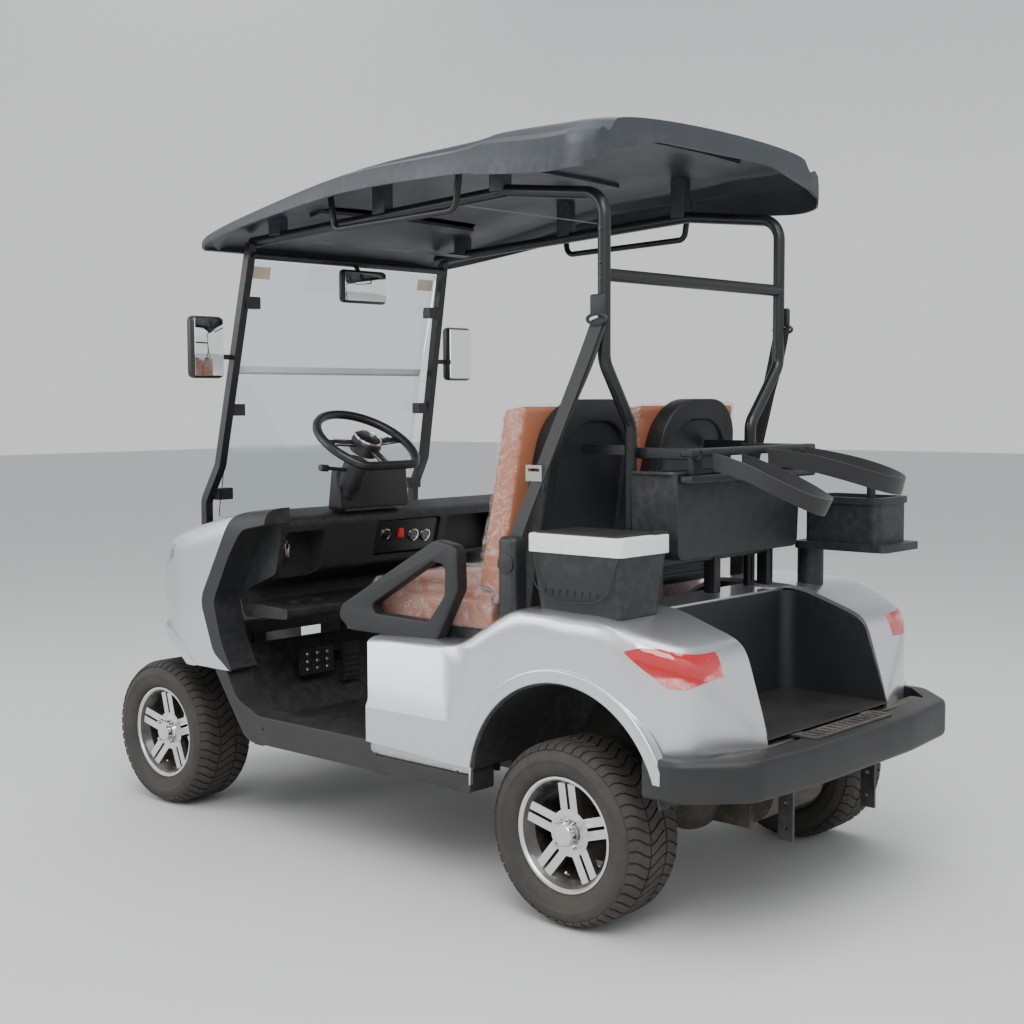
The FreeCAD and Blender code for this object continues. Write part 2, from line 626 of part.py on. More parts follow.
for x in (-272, 272):
    brackets.append(boxAt((x - 12, x + 12), (-200, -20), (1128, 1152)))
strutShape = joined([strutShape] + brackets).cut(pair(shell))
feature("rear_struts", max(strutShape.Solids, key=lambda solid: solid.Volume))

# Armrest loops
loop = sideProfile([(-850, 680), (-840, 705), (-480, 905), (-400, 900), (-385, 860), (-410, 740), (-480, 650), (-800, 645)], (495, 535))
hole = sideProfile([(-750, 700), (-480, 850), (-435, 845), (-450, 750), (-500, 695)], (480, 560))
armrest = loop.cut(hole).cut(quarter)
feature("armrests", pair(max(armrest.Solids, key=lambda solid: solid.Volume)))

# Belts, basket, bag holder, straps
def beltSection(x, y, z):
    """A flat strap's end, 46 wide and 3 thick."""
    yy = rearY + y
    ring = [Vector(x, yy - 23, z), Vector(x + 3, yy - 23, z), Vector(x + 3, yy + 23, z), Vector(x, yy + 23, z)]
    return Part.makePolygon(ring + ring[:1])


belt = Part.makeLoft([beltSection(411 + size["gap"], -20, 1450), beltSection(505, -215, 930)], True, True)
reel = boxAt((486, 541), (-245, -185), (690, 930 - size["gap"])).cut(quarter)
reel = max(reel.Solids, key=lambda solid: solid.Volume)
feature("seat_belts", Part.makeCompound(list(both(belt)) + list(both(reel))))
tub = boxAt((-270, 300), (-10, 130), (870, 1085)).cut(boxAt((-262, 292), (-2, 122), (880, 1100)))
feature("basket", tub)
feature("bag_stand", joined([boxAt((x - 15, x + 15), (40, 70), (wellFloor + size["gap"], 870 - size["gap"])) for x in (-120, 120)] +
                            [boxAt((-135, 135), (40, 70), (840, 870 - size["gap"]))]))
holder = boxAt((-290, 290), (130 + size["gap"], 165), (1060, 1150))
feature("bag_holder", holder)
straps = []
for x in (-150, 150):
    strapOuter = boxAt((x - 130, x + 130), (165 + size["gap"], 300), (1085, 1125)).fuse(
        Part.makeCylinder(130, 40, Vector(x, rearY + 300, 1085)))
    strapInner = boxAt((x - 127, x + 127), (150, 300), (1070, 1130)).fuse(
        Part.makeCylinder(127, 60, Vector(x, rearY + 300, 1070)))
    straps.append(strapOuter.cut(strapInner))
feature("bag_straps", Part.makeCompound(straps))

# Cooler box on the left rear fender, its lid hinged at the front edge
wall = size["coolerWall"]
coolerLow = 750
cooler = boxAt((360, 550), (-130, 150), (coolerLow, 900)).cut(
    boxAt((360 + wall, 550 - wall), (-130 + wall, 150 - wall), (coolerLow + 16, 910))).cut(quarter)
feature("cooler_box", cooler)
lid = boxAt((355, 555), (-135, 155), (900 + size["gap"], 945))
feature("cooler_lid", lid)

# Ball washer shelf on the right rear fender
washer = joined([boxAt((-500, -300), (90, 370), (858, 885)), boxAt((-480, -320), (110, 340), (885, 1005)),
                 boxAt((-420, -340), (60, 140), (750, 860))]).cut(pair(quarter))
feature("ball_washer", washer)

doc.recompute()
for item in doc.Objects:
    if "Invalid" in item.State or "Error" in item.State:
        raise RuntimeError(item.Name + " did not rebuild")
for item in nodes:
    if item.Shape.isNull() or not item.Shape.isValid():
        raise RuntimeError(item.Label + " has no valid shape")
os.makedirs("parts", exist_ok=True)
for item in nodes:
    item.Shape.exportStep("parts/" + item.Label + ".step")
box = Part.makeCompound([item.Shape for item in nodes]).BoundBox
print(len(nodes), "nodes", [round(v, 1) for v in (box.XMin, box.XMax, box.YMin, box.YMax, box.ZMin, box.ZMax)])
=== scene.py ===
import bpy
import bmesh
import json
import math
from mathutils import Matrix, Vector, noise


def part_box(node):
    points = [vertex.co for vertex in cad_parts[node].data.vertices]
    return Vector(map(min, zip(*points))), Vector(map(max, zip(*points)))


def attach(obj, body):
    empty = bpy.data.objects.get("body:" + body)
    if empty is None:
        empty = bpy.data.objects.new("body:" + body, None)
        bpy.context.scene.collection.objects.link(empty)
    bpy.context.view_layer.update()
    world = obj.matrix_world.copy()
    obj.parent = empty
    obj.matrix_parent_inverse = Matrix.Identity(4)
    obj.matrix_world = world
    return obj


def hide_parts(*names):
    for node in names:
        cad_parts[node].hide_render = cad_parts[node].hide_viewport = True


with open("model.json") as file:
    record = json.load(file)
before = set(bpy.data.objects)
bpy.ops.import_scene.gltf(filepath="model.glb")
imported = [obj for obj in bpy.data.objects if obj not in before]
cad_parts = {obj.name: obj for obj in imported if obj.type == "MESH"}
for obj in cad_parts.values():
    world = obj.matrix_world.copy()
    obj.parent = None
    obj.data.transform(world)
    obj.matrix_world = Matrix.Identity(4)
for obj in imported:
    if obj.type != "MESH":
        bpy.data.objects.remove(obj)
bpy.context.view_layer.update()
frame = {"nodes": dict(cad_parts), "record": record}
print("frame loaded:", len(frame["nodes"]), "nodes")


def middleY(nodeName):
    low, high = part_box(nodeName)
    return (low[1] + high[1]) / 2


rearY, frontY = middleY("tyre_rear_left"), middleY("tyre_front_left")
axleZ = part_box("tyre_rear_left")[1][2] / 2

# the photograph's view: place from the rear axle, heading, tilt and lens
view = dict(x=3.2948, y=2.2794, z=1.2668, heading=-131.92, tilt=-4.25, roll=-0.24, focalPixels=1507.7,
            imagePixels=1024, sensor=36.0)


def setCamera():
    heading, tilt, roll = (math.radians(view[key]) for key in ("heading", "tilt", "roll"))
    forward = Vector((math.sin(heading) * math.cos(tilt), math.cos(heading) * math.cos(tilt), math.sin(tilt)))
    right = forward.cross(Vector((0, 0, 1))).normalized()
    up = right.cross(forward)
    turnedRight = right * math.cos(roll) + up * math.sin(roll)
    turnedUp = up * math.cos(roll) - right * math.sin(roll)
    camera = bpy.data.cameras.new("camera")
    camera.sensor_width = view["sensor"]
    camera.lens = view["focalPixels"] * view["sensor"] / view["imagePixels"]
    camera.clip_end = 60
    holder = bpy.data.objects.new("camera", camera)
    bpy.context.collection.objects.link(holder)
    axes = Matrix((turnedRight, turnedUp, -forward)).transposed().to_4x4()
    holder.matrix_world = Matrix.Translation((view["x"], rearY + view["y"], view["z"])) @ axes
    bpy.context.scene.camera = holder


# node helpers
def put(tree, kind, inputs=(), **settings):
    node = tree.nodes.new(kind)
    for key, value in settings.items():
        setattr(node, key, value)
    for key, value in dict(inputs).items():
        if isinstance(value, bpy.types.NodeSocket):
            tree.links.new(value, node.inputs[key])
        else:
            node.inputs[key].default_value = value
    return node


def newGroup(name, ins, outs):
    group = bpy.data.node_groups.new(name, "ShaderNodeTree")
    for label, start in ins.items():
        group.interface.new_socket(label, in_out="INPUT", socket_type="NodeSocketFloat").default_value = start
    for label in outs:
        group.interface.new_socket(label, in_out="OUTPUT", socket_type="NodeSocketFloat")
    return group, group.nodes.new("NodeGroupInput").outputs, group.nodes.new("NodeGroupOutput").inputs


def useGroup(tree, group, **values):
    node = tree.nodes.new("ShaderNodeGroup")
    node.node_tree = group
    for key, value in values.items():
        node.inputs[key].default_value = value
    return node.outputs


def mathNode(tree, operation, first, second=0.0, clamp=False):
    return put(tree, "ShaderNodeMath", {0: first, 1: second}, operation=operation, use_clamp=clamp).outputs[0]


def times(tree, first, second, clamp=False):
    return mathNode(tree, "MULTIPLY", first, second, clamp)


def mixColour(tree, mask, *colours):
    node = put(tree, "ShaderNodeMix", {0: mask}, data_type="RGBA")
    for socket, value in zip(node.inputs[6:8], colours):
        if isinstance(value, bpy.types.NodeSocket):
            tree.links.new(value, socket)
        else:
            socket.default_value = (*value, 1)
    return node.outputs[2]


def spread(tree, value, low, high, newLow=0.0, newHigh=1.0):
    return put(tree, "ShaderNodeMapRange", {"Value": value, "From Min": low, "From Max": high,
                                            "To Min": newLow, "To Max": newHigh}).outputs[0]


def coordsOf(tree, kind="Object"):
    return put(tree, "ShaderNodeTexCoord").outputs[kind]


def apart(tree, vector):
    return put(tree, "ShaderNodeSeparateXYZ", {0: vector}).outputs


def stretched(tree, vector, **settings):
    return put(tree, "ShaderNodeMapping", {"Vector": vector, **settings}).outputs[0]


def noiseOn(tree, vector, scale, detail, out=0, **more):
    return put(tree, "ShaderNodeTexNoise", {"Vector": vector, "Scale": scale, "Detail": detail, **more}).outputs[out]


def cellsOn(tree, vector, scale, **settings):
    return put(tree, "ShaderNodeTexVoronoi", {"Vector": vector, "Scale": scale}, **settings).outputs


def feed(shader, **sockets):
    for key, value in sockets.items():
        shader.id_data.links.new(value, shader.inputs[key.replace("_", " ")])


# grain of moulded plastic: small cells over a soft noise
def makeGrain():
    group, ins, outs = newGroup("mouldedGrain", {"Scale": 900.0, "Softness": 0.5}, ["Height", "Patches"])
    spot = coordsOf(group)
    cells = cellsOn(group, spot, ins["Scale"], feature="SMOOTH_F1")["Distance"]
    fine = noiseOn(group, spot, ins["Scale"], 4.0)
    blend = put(group, "ShaderNodeMix", {0: ins["Softness"], 2: cells, 3: fine})
    group.links.new(blend.outputs[0], outs["Height"])
    group.links.new(noiseOn(group, spot, 5.0, 5.0), outs["Patches"])
    return group


# dust: settles on what faces up and splashes up from the ground
def makeDust():
    group, ins, outs = newGroup("dust", {"Settled": 0.3, "Splash": 0.6, "SplashTop": 0.45}, ["Mask"])
    spot = coordsOf(group)
    blotch = noiseOn(group, spot, 14.0, 8.0, Roughness=0.65)
    speck = noiseOn(group, spot, 160.0, 4.0)
    upper = times(group, spread(group, apart(group, coordsOf(group, "Normal"))["Z"], 0.35, 1.0), ins["Settled"])
    height = mathNode(group, "DIVIDE", apart(group, spot)["Z"], ins["SplashTop"])
    lower = times(group, mathNode(group, "SUBTRACT", 1.0, height, True), ins["Splash"])
    broken = times(group, mathNode(group, "ADD", upper, lower), spread(group, blotch, 0.3, 0.72))
    group.links.new(times(group, broken, spread(group, speck, 0.3, 0.6, 0.55, 1.0), True), outs["Mask"])
    return group


# worn, lighter places on corners
def makeRub():
    group, ins, outs = newGroup("rubbedEdges", {"Amount": 0.5}, ["Mask"])
    edge = spread(group, put(group, "ShaderNodeNewGeometry").outputs["Pointiness"], 0.52, 0.62)
    scuff = spread(group, noiseOn(group, coordsOf(group), 45.0, 7.0), 0.4, 0.65)
    group.links.new(times(group, times(group, edge, scuff), ins["Amount"], True), outs["Mask"])
    return group


grainGroup, dustGroup, rubGroup = makeGrain(), makeDust(), makeRub()
dustColour = (0.28, 0.235, 0.18)


def newMaterial(name, **sockets):
    material = bpy.data.materials.new(name)
    material.use_nodes = True
    tree = material.node_tree
    shader = tree.nodes["Principled BSDF"]
    for key, value in sockets.items():
        shader.inputs[key.replace("_", " ")].default_value = value
    return material, tree, shader


def bumpInto(tree, shader, height, strength, distance=0.001):
    feed(shader, Normal=put(tree, "ShaderNodeBump", {"Height": height, "Strength": strength,
                                                     "Distance": distance}).outputs[0])


# black and grey mouldings differ only in these values
def mouldedPlastic(name, colour, tint, rough, grain, depth, settled=0.25, splash=0.7, worn=0.35, coat=0.0):
    material, tree, shader = newMaterial(name, Coat_Weight=coat, Coat_Roughness=0.15)
    texture = useGroup(tree, grainGroup, Scale=grain)
    dust = useGroup(tree, dustGroup, Settled=settled, Splash=splash)["Mask"]
    rub = useGroup(tree, rubGroup, Amount=worn)["Mask"]
    base = mixColour(tree, texture["Patches"], colour, tint)
    rubbed = mixColour(tree, rub, base, [min(1, part * 2.2 + 0.03) for part in tint])
    gloss = spread(tree, texture["Patches"], 0.35, 0.65, rough - 0.05, rough + 0.06)
    feed(shader, Base_Color=mixColour(tree, dust, rubbed, dustColour),
         Roughness=mathNode(tree, "ADD", gloss, dust, True))
    bumpInto(tree, shader, texture["Height"], depth)
    return material


def bodyPaint(name):
    material, tree, shader = newMaterial(name, Metallic=0.85, Coat_Weight=1.0, Coat_Roughness=0.05)
    spot = coordsOf(tree)
    cloud = noiseOn(tree, spot, 3.0, 4.0)
    tone = mixColour(tree, cloud, (0.60, 0.62, 0.655), (0.65, 0.67, 0.705))
    flake = spread(tree, cellsOn(tree, spot, 2600.0)["Color"], 0.0, 1.0, 0.0, 0.25)
    sparkle = mixColour(tree, flake, tone, (0.95, 0.96, 1.0))
    dust = useGroup(tree, dustGroup, Settled=0.05, Splash=0.5, SplashTop=0.5)["Mask"]
    rough = mathNode(tree, "ADD", spread(tree, cloud, 0.3, 0.7, 0.27, 0.34), times(tree, dust, 0.4), True)
    feed(shader, Base_Color=mixColour(tree, dust, sparkle, (0.42, 0.39, 0.34)), Roughness=rough)
    bumpInto(tree, shader, noiseOn(tree, spot, 420.0, 2.0), 0.06)
    return material


def clearPane(name):
    material, tree, shader = newMaterial(name, Transmission_Weight=1.0, IOR=1.45, Metallic=0.0)
    spot = coordsOf(tree)
    smear = noiseOn(tree, spot, 7.0, 6.0)
    feed(shader, Base_Color=mixColour(tree, smear, (0.80, 0.90, 0.95), (0.88, 0.95, 0.98)),
         Roughness=spread(tree, smear, 0.35, 0.75, 0.01, 0.07))
    return material


def lampGlassPaintedHighlight(name, dark, bright, ribs):
    # a clear coat over bulbs' cells, and a painted highlight: a lighter streak in the bright colour
    material, tree, shader = newMaterial(name, Coat_Weight=1.0, Coat_Roughness=0.03, Specular_IOR_Level=0.7)
    spot = coordsOf(tree)
    streak = noiseOn(tree, stretched(tree, spot, Scale=(1.0, 0.5, 2.2)), 11.0, 2.0)
    cells = cellsOn(tree, spot, ribs, feature="SMOOTH_F1")["Distance"]
    # painted highlight: the bright colour laid along the streak, strongest at the cells' middles
    mask = times(tree, spread(tree, streak, 0.5, 0.66), spread(tree, cells, 0.0, 0.8, 1.0, 0.35), True)
    feed(shader, Base_Color=mixColour(tree, mask, dark, bright), Roughness=spread(tree, streak, 0.3, 0.7, 0.06, 0.14))
    bumpInto(tree, shader, cells, 0.12)
    return material


def metalFinish(name, colour, rough, scale=60.0, depth=0.02, dusty=0.3):
    material, tree, shader = newMaterial(name, Metallic=1.0)
    spot = coordsOf(tree)
    streak = noiseOn(tree, stretched(tree, spot, Scale=(1.0, 14.0, 14.0)), scale, 4.0)
    dust = useGroup(tree, dustGroup, Settled=0.1, Splash=dusty, SplashTop=0.6)["Mask"]
    tone = mixColour(tree, streak, [part * 0.8 for part in colour], colour)
    gloss = spread(tree, streak, 0.3, 0.7, rough * 0.8, rough * 1.3)
    feed(shader, Base_Color=mixColour(tree, dust, tone, dustColour),
         Roughness=mathNode(tree, "ADD", gloss, times(tree, dust, 0.6), True))
    bumpInto(tree, shader, streak, depth)
    return material


def tyreRubber(name):
    material, tree, shader = newMaterial(name)
    spot = coordsOf(tree)
    patch = noiseOn(tree, spot, 9.0, 8.0, Roughness=0.7)
    fine = noiseOn(tree, spot, 320.0, 5.0)
    base = mixColour(tree, patch, (0.018, 0.017, 0.016), (0.05, 0.046, 0.042))
    earth = times(tree, spread(tree, patch, 0.42, 0.7), spread(tree, fine, 0.35, 0.65, 0.3, 0.8))
    feed(shader, Base_Color=mixColour(tree, times(tree, earth, 0.35), base, (0.16, 0.125, 0.09)),
         Roughness=spread(tree, patch, 0.3, 0.7, 0.62, 0.85))
    bumpInto(tree, shader, fine, 0.25)
    return material


def seatVinyl(name):
    material, tree, shader = newMaterial(name, Coat_Weight=0.15, Coat_Roughness=0.3)
    texture = useGroup(tree, grainGroup, Scale=420.0, Softness=0.3)
    patches = texture["Patches"]
    feed(shader, Base_Color=mixColour(tree, patches, (0.36, 0.125, 0.062), (0.46, 0.175, 0.095)),
         Roughness=spread(tree, patches, 0.3, 0.7, 0.42, 0.55))
    bumpInto(tree, shader, texture["Height"], 0.35)
    return material


def wovenWeb(name):
    material, tree, shader = newMaterial(name, Sheen_Weight=0.3)
    spot = coordsOf(tree)
    rib, cross = (put(tree, "ShaderNodeTexWave", {"Vector": spot, "Scale": scale, "Distortion": 0.3},
                      bands_direction=way).outputs[0] for scale, way in ((260.0, "Z"), (200.0, "Y")))
    height = times(tree, rib, cross)
    feed(shader, Base_Color=mixColour(tree, height, (0.006, 0.006, 0.007), (0.03, 0.03, 0.032)),
         Roughness=spread(tree, height, 0.0, 1.0, 0.7, 0.85))
    bumpInto(tree, shader, height, 0.6)
    return material


def rimFinish(name, centreY, split):
    # machined faces and lip, black paint behind; split is where the rim's outer side starts
    material, tree, shader = newMaterial(name, Coat_Weight=0.6, Coat_Roughness=0.08)
    spot = coordsOf(tree)
    fromHub = apart(tree, stretched(tree, spot, Location=(0, -centreY, -axleZ)))
    squares = [times(tree, fromHub[way], fromHub[way]) for way in "YZ"]
    radius = mathNode(tree, "SQRT", mathNode(tree, "ADD", *squares))
    facingOut = mathNode(tree, "ABSOLUTE", apart(tree, coordsOf(tree, "Normal"))["X"])
    outerSide = spread(tree, mathNode(tree, "ABSOLUTE", fromHub["X"]), split - 0.001, split)
    lip = spread(tree, radius, 0.1305, 0.1315)
    machined = times(tree, mathNode(tree, "MAXIMUM", spread(tree, facingOut, 0.80, 0.86), lip), outerSide)
    turned = put(tree, "ShaderNodeCombineXYZ", {0: times(tree, radius, 900.0)}).outputs[0]
    rings = noiseOn(tree, turned, 1.0, 2.0)
    dust = useGroup(tree, dustGroup, Settled=0.1, Splash=0.55, SplashTop=0.6)["Mask"]
    bright = mixColour(tree, rings, (0.66, 0.665, 0.67), (0.86, 0.865, 0.87))
    tone = mixColour(tree, machined, (0.012, 0.012, 0.013), bright)
    gloss = mathNode(tree, "ADD", spread(tree, rings, 0.2, 0.8, 0.2, 0.3), times(tree, dust, 0.4), True)
    feed(shader, Base_Color=mixColour(tree, times(tree, dust, 0.7), tone, dustColour),
         Metallic=machined, Roughness=gloss)
    bumpInto(tree, shader, rings, 0.03)
    return material


def wrapFilm(name):
    # loose packing film: clear, milky where it lies double, with white glints along its folds
    material, tree, shader = newMaterial(name, Coat_Weight=1.0, Coat_Roughness=0.05, Specular_IOR_Level=0.8)
    spot = coordsOf(tree)
    bent = noiseOn(tree, spot, 5.0, 3.0, "Color", Distortion=2.0)
    pulled = put(tree, "ShaderNodeMix", {0: 0.35, 4: spot, 5: bent}, data_type="VECTOR").outputs[1]
    folds = noiseOn(tree, pulled, 14.0, 5.0, Roughness=0.62)
    crest = mathNode(tree, "ABSOLUTE", mathNode(tree, "SUBTRACT", folds, 0.5))
    veil = noiseOn(tree, pulled, 3.0, 4.0)
    glint = spread(tree, crest, 0.022, 0.0)
    cover = mathNode(tree, "ADD", times(tree, glint, 0.28), spread(tree, veil, 0.38, 0.66, 0.06, 0.42), True)
    feed(shader, Base_Color=mixColour(tree, glint, (0.86, 0.85, 0.86), (1.0, 1.0, 1.0)), Alpha=cover,
         Roughness=spread(tree, veil, 0.3, 0.7, 0.08, 0.2))
    bumpInto(tree, shader, crest, 0.8, 0.02)
    return material


def mirrorFace(name):
    material, tree, shader = newMaterial(name, Metallic=1.0)
    spot = coordsOf(tree)
    film = noiseOn(tree, spot, 30.0, 4.0)
    feed(shader, Base_Color=mixColour(tree, film, (0.78, 0.80, 0.80), (0.88, 0.9, 0.9)),
         Roughness=spread(tree, film, 0.3, 0.8, 0.02, 0.06))
    return material


finishTable = [
    # look, how it is made, its values; for mouldings: colour, tint, roughness, grain, depth, dust, splash, wear, coat
    ("body_paint", bodyPaint), ("clear_pane", clearPane), ("tyre_rubber", tyreRubber), ("seat_vinyl", seatVinyl),
    ("webbing", wovenWeb), ("wrap_film", wrapFilm), ("mirror_face", mirrorFace),
    ("trim_plastic", mouldedPlastic, (0.012, 0.0125, 0.014), (0.017, 0.0175, 0.019), 0.48, 1100.0, 0.22, 0.06, 0.3),
    ("roof_plastic", mouldedPlastic, (0.028, 0.033, 0.042), (0.034, 0.040, 0.050), 0.40, 800.0, 0.3, 0.02),
    ("gloss_plastic", mouldedPlastic, (0.008, 0.008, 0.009), (0.016, 0.016, 0.018), 0.33, 1500.0, 0.1, 0.08, 0.3),
    ("lid_plastic", mouldedPlastic, (0.72, 0.73, 0.74), (0.8, 0.8, 0.8), 0.35, 1200.0, 0.08, 0.1, 0.3),
    ("post_paint", mouldedPlastic, (0.009, 0.0095, 0.011), (0.014, 0.015, 0.017), 0.34, 700.0, 0.12, 0.03, 0.25),
    ("frame_paint", mouldedPlastic, (0.012, 0.012, 0.012), (0.026, 0.025, 0.023), 0.5, 300.0, 0.25, 0.5, 1.0),
    ("battery_case", mouldedPlastic, (0.03, 0.03, 0.033), (0.05, 0.05, 0.055), 0.5, 500.0, 0.2),
    ("red_plastic", mouldedPlastic, (0.62, 0.01, 0.012), (0.7, 0.02, 0.02), 0.3, 1400.0, 0.05, 0.05, 0.1),
    ("rubber_mat", mouldedPlastic, (0.016, 0.016, 0.016), (0.034, 0.033, 0.031), 0.62, 500.0, 0.4, 0.5, 0.8),
    ("screen_glass", mouldedPlastic, (0.01, 0.012, 0.014), (0.02, 0.022, 0.024), 0.1, 2000.0, 0.0, 0.05, 0.1, 0.0,
     1.0),
    ("seal_strip", mouldedPlastic, (0.75, 0.78, 0.8), (0.86, 0.88, 0.9), 0.25, 1500.0, 0.02, 0.0, 0.0, 0.0),
    ("label_card", mouldedPlastic, (0.82, 0.62, 0.35), (0.9, 0.86, 0.8), 0.5, 1600.0, 0.02, 0.0, 0.0, 0.0),
    # metals: colour, roughness, streak scale, depth, splash
    ("alloy", metalFinish, (0.78, 0.79, 0.81), 0.2),
    ("chrome", metalFinish, (0.86, 0.86, 0.85), 0.12, 90.0, 0.01, 0.35),
    ("zinc_steel", metalFinish, (0.6, 0.6, 0.59), 0.32, 120.0, 0.02, 0.3),
    # lamps: dark glass colour, bright colour of the painted highlight, ribs; rims: the axle's place, the outer side's
    ("tail_glass", lampGlassPaintedHighlight, (0.50, 0.006, 0.012), (0.95, 0.45, 0.42), 110.0),
    ("head_glass", lampGlassPaintedHighlight, (0.10, 0.105, 0.115), (0.62, 0.65, 0.68), 60.0),
    ("rim_front", rimFinish, frontY, 0.455 + 0.03), ("rim_rear", rimFinish, rearY, 0.498 + 0.03),
]
looks = {look: make(look.partition("_")[0] + look.partition("_")[2].title(), *values)
         for look, make, *values in finishTable}
print("materials made:", len(bpy.data.materials))

slotOf = {part["node"]: part["material_slot"] for part in frame["record"]["subparts"]}
bodyOf = {node: body for body, nodes in frame["record"]["behaviour"]["bodies"].items() for node in nodes}
for nodeName, nodeObject in frame["nodes"].items():
    finish = "_".join(nodeName.split("_")[:2]) if nodeName.startswith("rim_") else slotOf[nodeName]
    nodeObject.data.materials.clear()
    nodeObject.data.materials.append(looks[finish])


# mesh helpers
def addPiece(bm, name, body, slotName, stands=(), look=None, smooth=38.0, merge=0.0):
    if merge:
        bmesh.ops.remove_doubles(bm, verts=bm.verts, dist=merge)
    bmesh.ops.recalc_face_normals(bm, faces=bm.faces)
    mesh = bpy.data.meshes.new(name)
    bm.to_mesh(mesh)
    bm.free()
    mesh.polygons.foreach_set("use_smooth", [True] * len(mesh.polygons))
    mesh.set_sharp_from_angle(angle=math.radians(smooth))
    mesh.materials.append(looks[look or slotName])
    piece = bpy.data.objects.new(name, mesh)
    bpy.context.collection.objects.link(piece)
    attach(piece, body)
    if stands:
        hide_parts(*stands)
    return piece


def dress(bm, name, slotName, nodes, look=None, smooth=35.0):
    return addPiece(bm, name, bodyOf[nodes[0]], slotName, nodes, look, smooth, merge=0.00002)


def bevelled(bm, edges, offset, segments, **more):
    return bmesh.ops.bevel(bm, geom=edges, offset=offset, offset_type="OFFSET", affect="EDGES", segments=segments,
                           profile=0.5, material=-1, **more)["verts"]


def facing(axis, place):
    return Matrix.Translation(Vector(place)) @ Vector(axis).to_track_quat("Z", "Y").to_matrix().to_4x4()


def addBlock(bm, low, high, rounding=0.0, segments=2):
    verts = bmesh.ops.create_cube(bm, size=1.0)["verts"]
    bmesh.ops.scale(bm, verts=verts, vec=Vector(high) - Vector(low))
    bmesh.ops.translate(bm, verts=verts, vec=(Vector(high) + Vector(low)) / 2)
    if rounding:
        bevelled(bm, list({edge for vert in verts for edge in vert.link_edges}), rounding, segments)


def addDisc(bm, place, axis, radius, depth, sides=32, top=None, rounding=0.0):
    made = bmesh.ops.create_cone(bm, cap_ends=True, cap_tris=False, segments=sides, radius1=radius,
                                 radius2=radius if top is None else top, depth=depth, matrix=facing(axis, place))
    if rounding:
        bevelled(bm, [edge for edge in {edge for vert in made["verts"] for edge in vert.link_edges}
                      if any(len(face.verts) == sides for face in edge.link_faces)], rounding, 2)


def addTurned(bm, profile, place, axis, steps=48):
    # profile holds (radius, height) pairs; height runs along the axis
    verts = [bm.verts.new((radius, 0.0, height)) for radius, height in profile]
    edges = [bm.edges.new(pair) for pair in zip(verts, verts[1:])]
    known = set(bm.verts) - set(verts)
    bmesh.ops.spin(bm, geom=verts + edges, cent=(0, 0, 0), axis=(0, 0, 1), angle=math.tau, steps=steps,
                   use_merge=True)
    fresh = [vert for vert in bm.verts if vert not in known]
    bmesh.ops.transform(bm, matrix=facing(axis, place), verts=fresh)
    bmesh.ops.remove_doubles(bm, verts=fresh, dist=0.00001)


def splineMesh(points, resolution, closed=False, radius=0.0, sides=4):
    # a NURBS route through its corners, round where it has a radius
    curve = bpy.data.curves.new("route", "CURVE")
    curve.dimensions = "3D"
    curve.bevel_depth = radius
    curve.bevel_resolution = max(0, sides // 4 - 1)
    curve.resolution_u = resolution
    curve.use_fill_caps = radius > 0
    route = curve.splines.new("NURBS")
    route.points.add(len(points) - 1)
    for knot, point in zip(route.points, points):
        knot.co = (*point, 1.0)
    route.use_cyclic_u = closed
    route.order_u = 3
    route.use_endpoint_u = not closed
    holder = bpy.data.objects.new("route", curve)
    mesh = bpy.data.meshes.new_from_object(holder)
    bpy.data.objects.remove(holder)
    bpy.data.curves.remove(curve)
    return mesh


def addTube(bm, points, radius, sides=10, closed=False):
    mesh = splineMesh(points, 8, closed, radius, sides)
    bm.from_mesh(mesh)
    bpy.data.meshes.remove(mesh)


def smoothPath(points, count):
    mesh = splineMesh(points, max(2, count // len(points)))
    found = [vert.co.copy() for vert in mesh.vertices]
    bpy.data.meshes.remove(mesh)
    return found


def addStrip(bm, points, across, width, thick):
    # a flat web: a grid laid along the points, then given its thickness; across is its way at each point
    count = len(points) - 1
    verts = bmesh.ops.create_grid(bm, x_segments=count, y_segments=2, size=1.0)["verts"]
    for vert in verts:
        number = round((vert.co.x + 1) / 2 * count)
        vert.co = Vector(points[number]) + across[number] * (vert.co.y * width / 2)
    faces = list({face for vert in verts for face in vert.link_faces})
    bmesh.ops.recalc_face_normals(bm, faces=faces)
    bmesh.ops.solidify(bm, geom=faces, thickness=thick)


# tyres: a spun carcass with wavy lugs raised from it
tyre = dict(radius=0.2265, lugs=50, lugShare=0.8, lugDepth=0.0055, wave=0.055, waves=52.0, columns=16,
            treadHalf=0.092, grooves=(-0.030, 0.030), grooveHalf=0.0028, shoulder=0.066, rubberFrom=0.197)
tyreWall = [
    # from the middle plane, radius
    (0.0985, 0.198), (0.1018, 0.186), (0.1022, 0.183), (0.1005, 0.180), (0.0995, 0.172), (0.097, 0.160),
    (0.092, 0.151), (0.0905, 0.1495), (0.0862, 0.1455), (0.081, 0.1435), (0.0785, 0.139), (0.0765, 0.132),
]


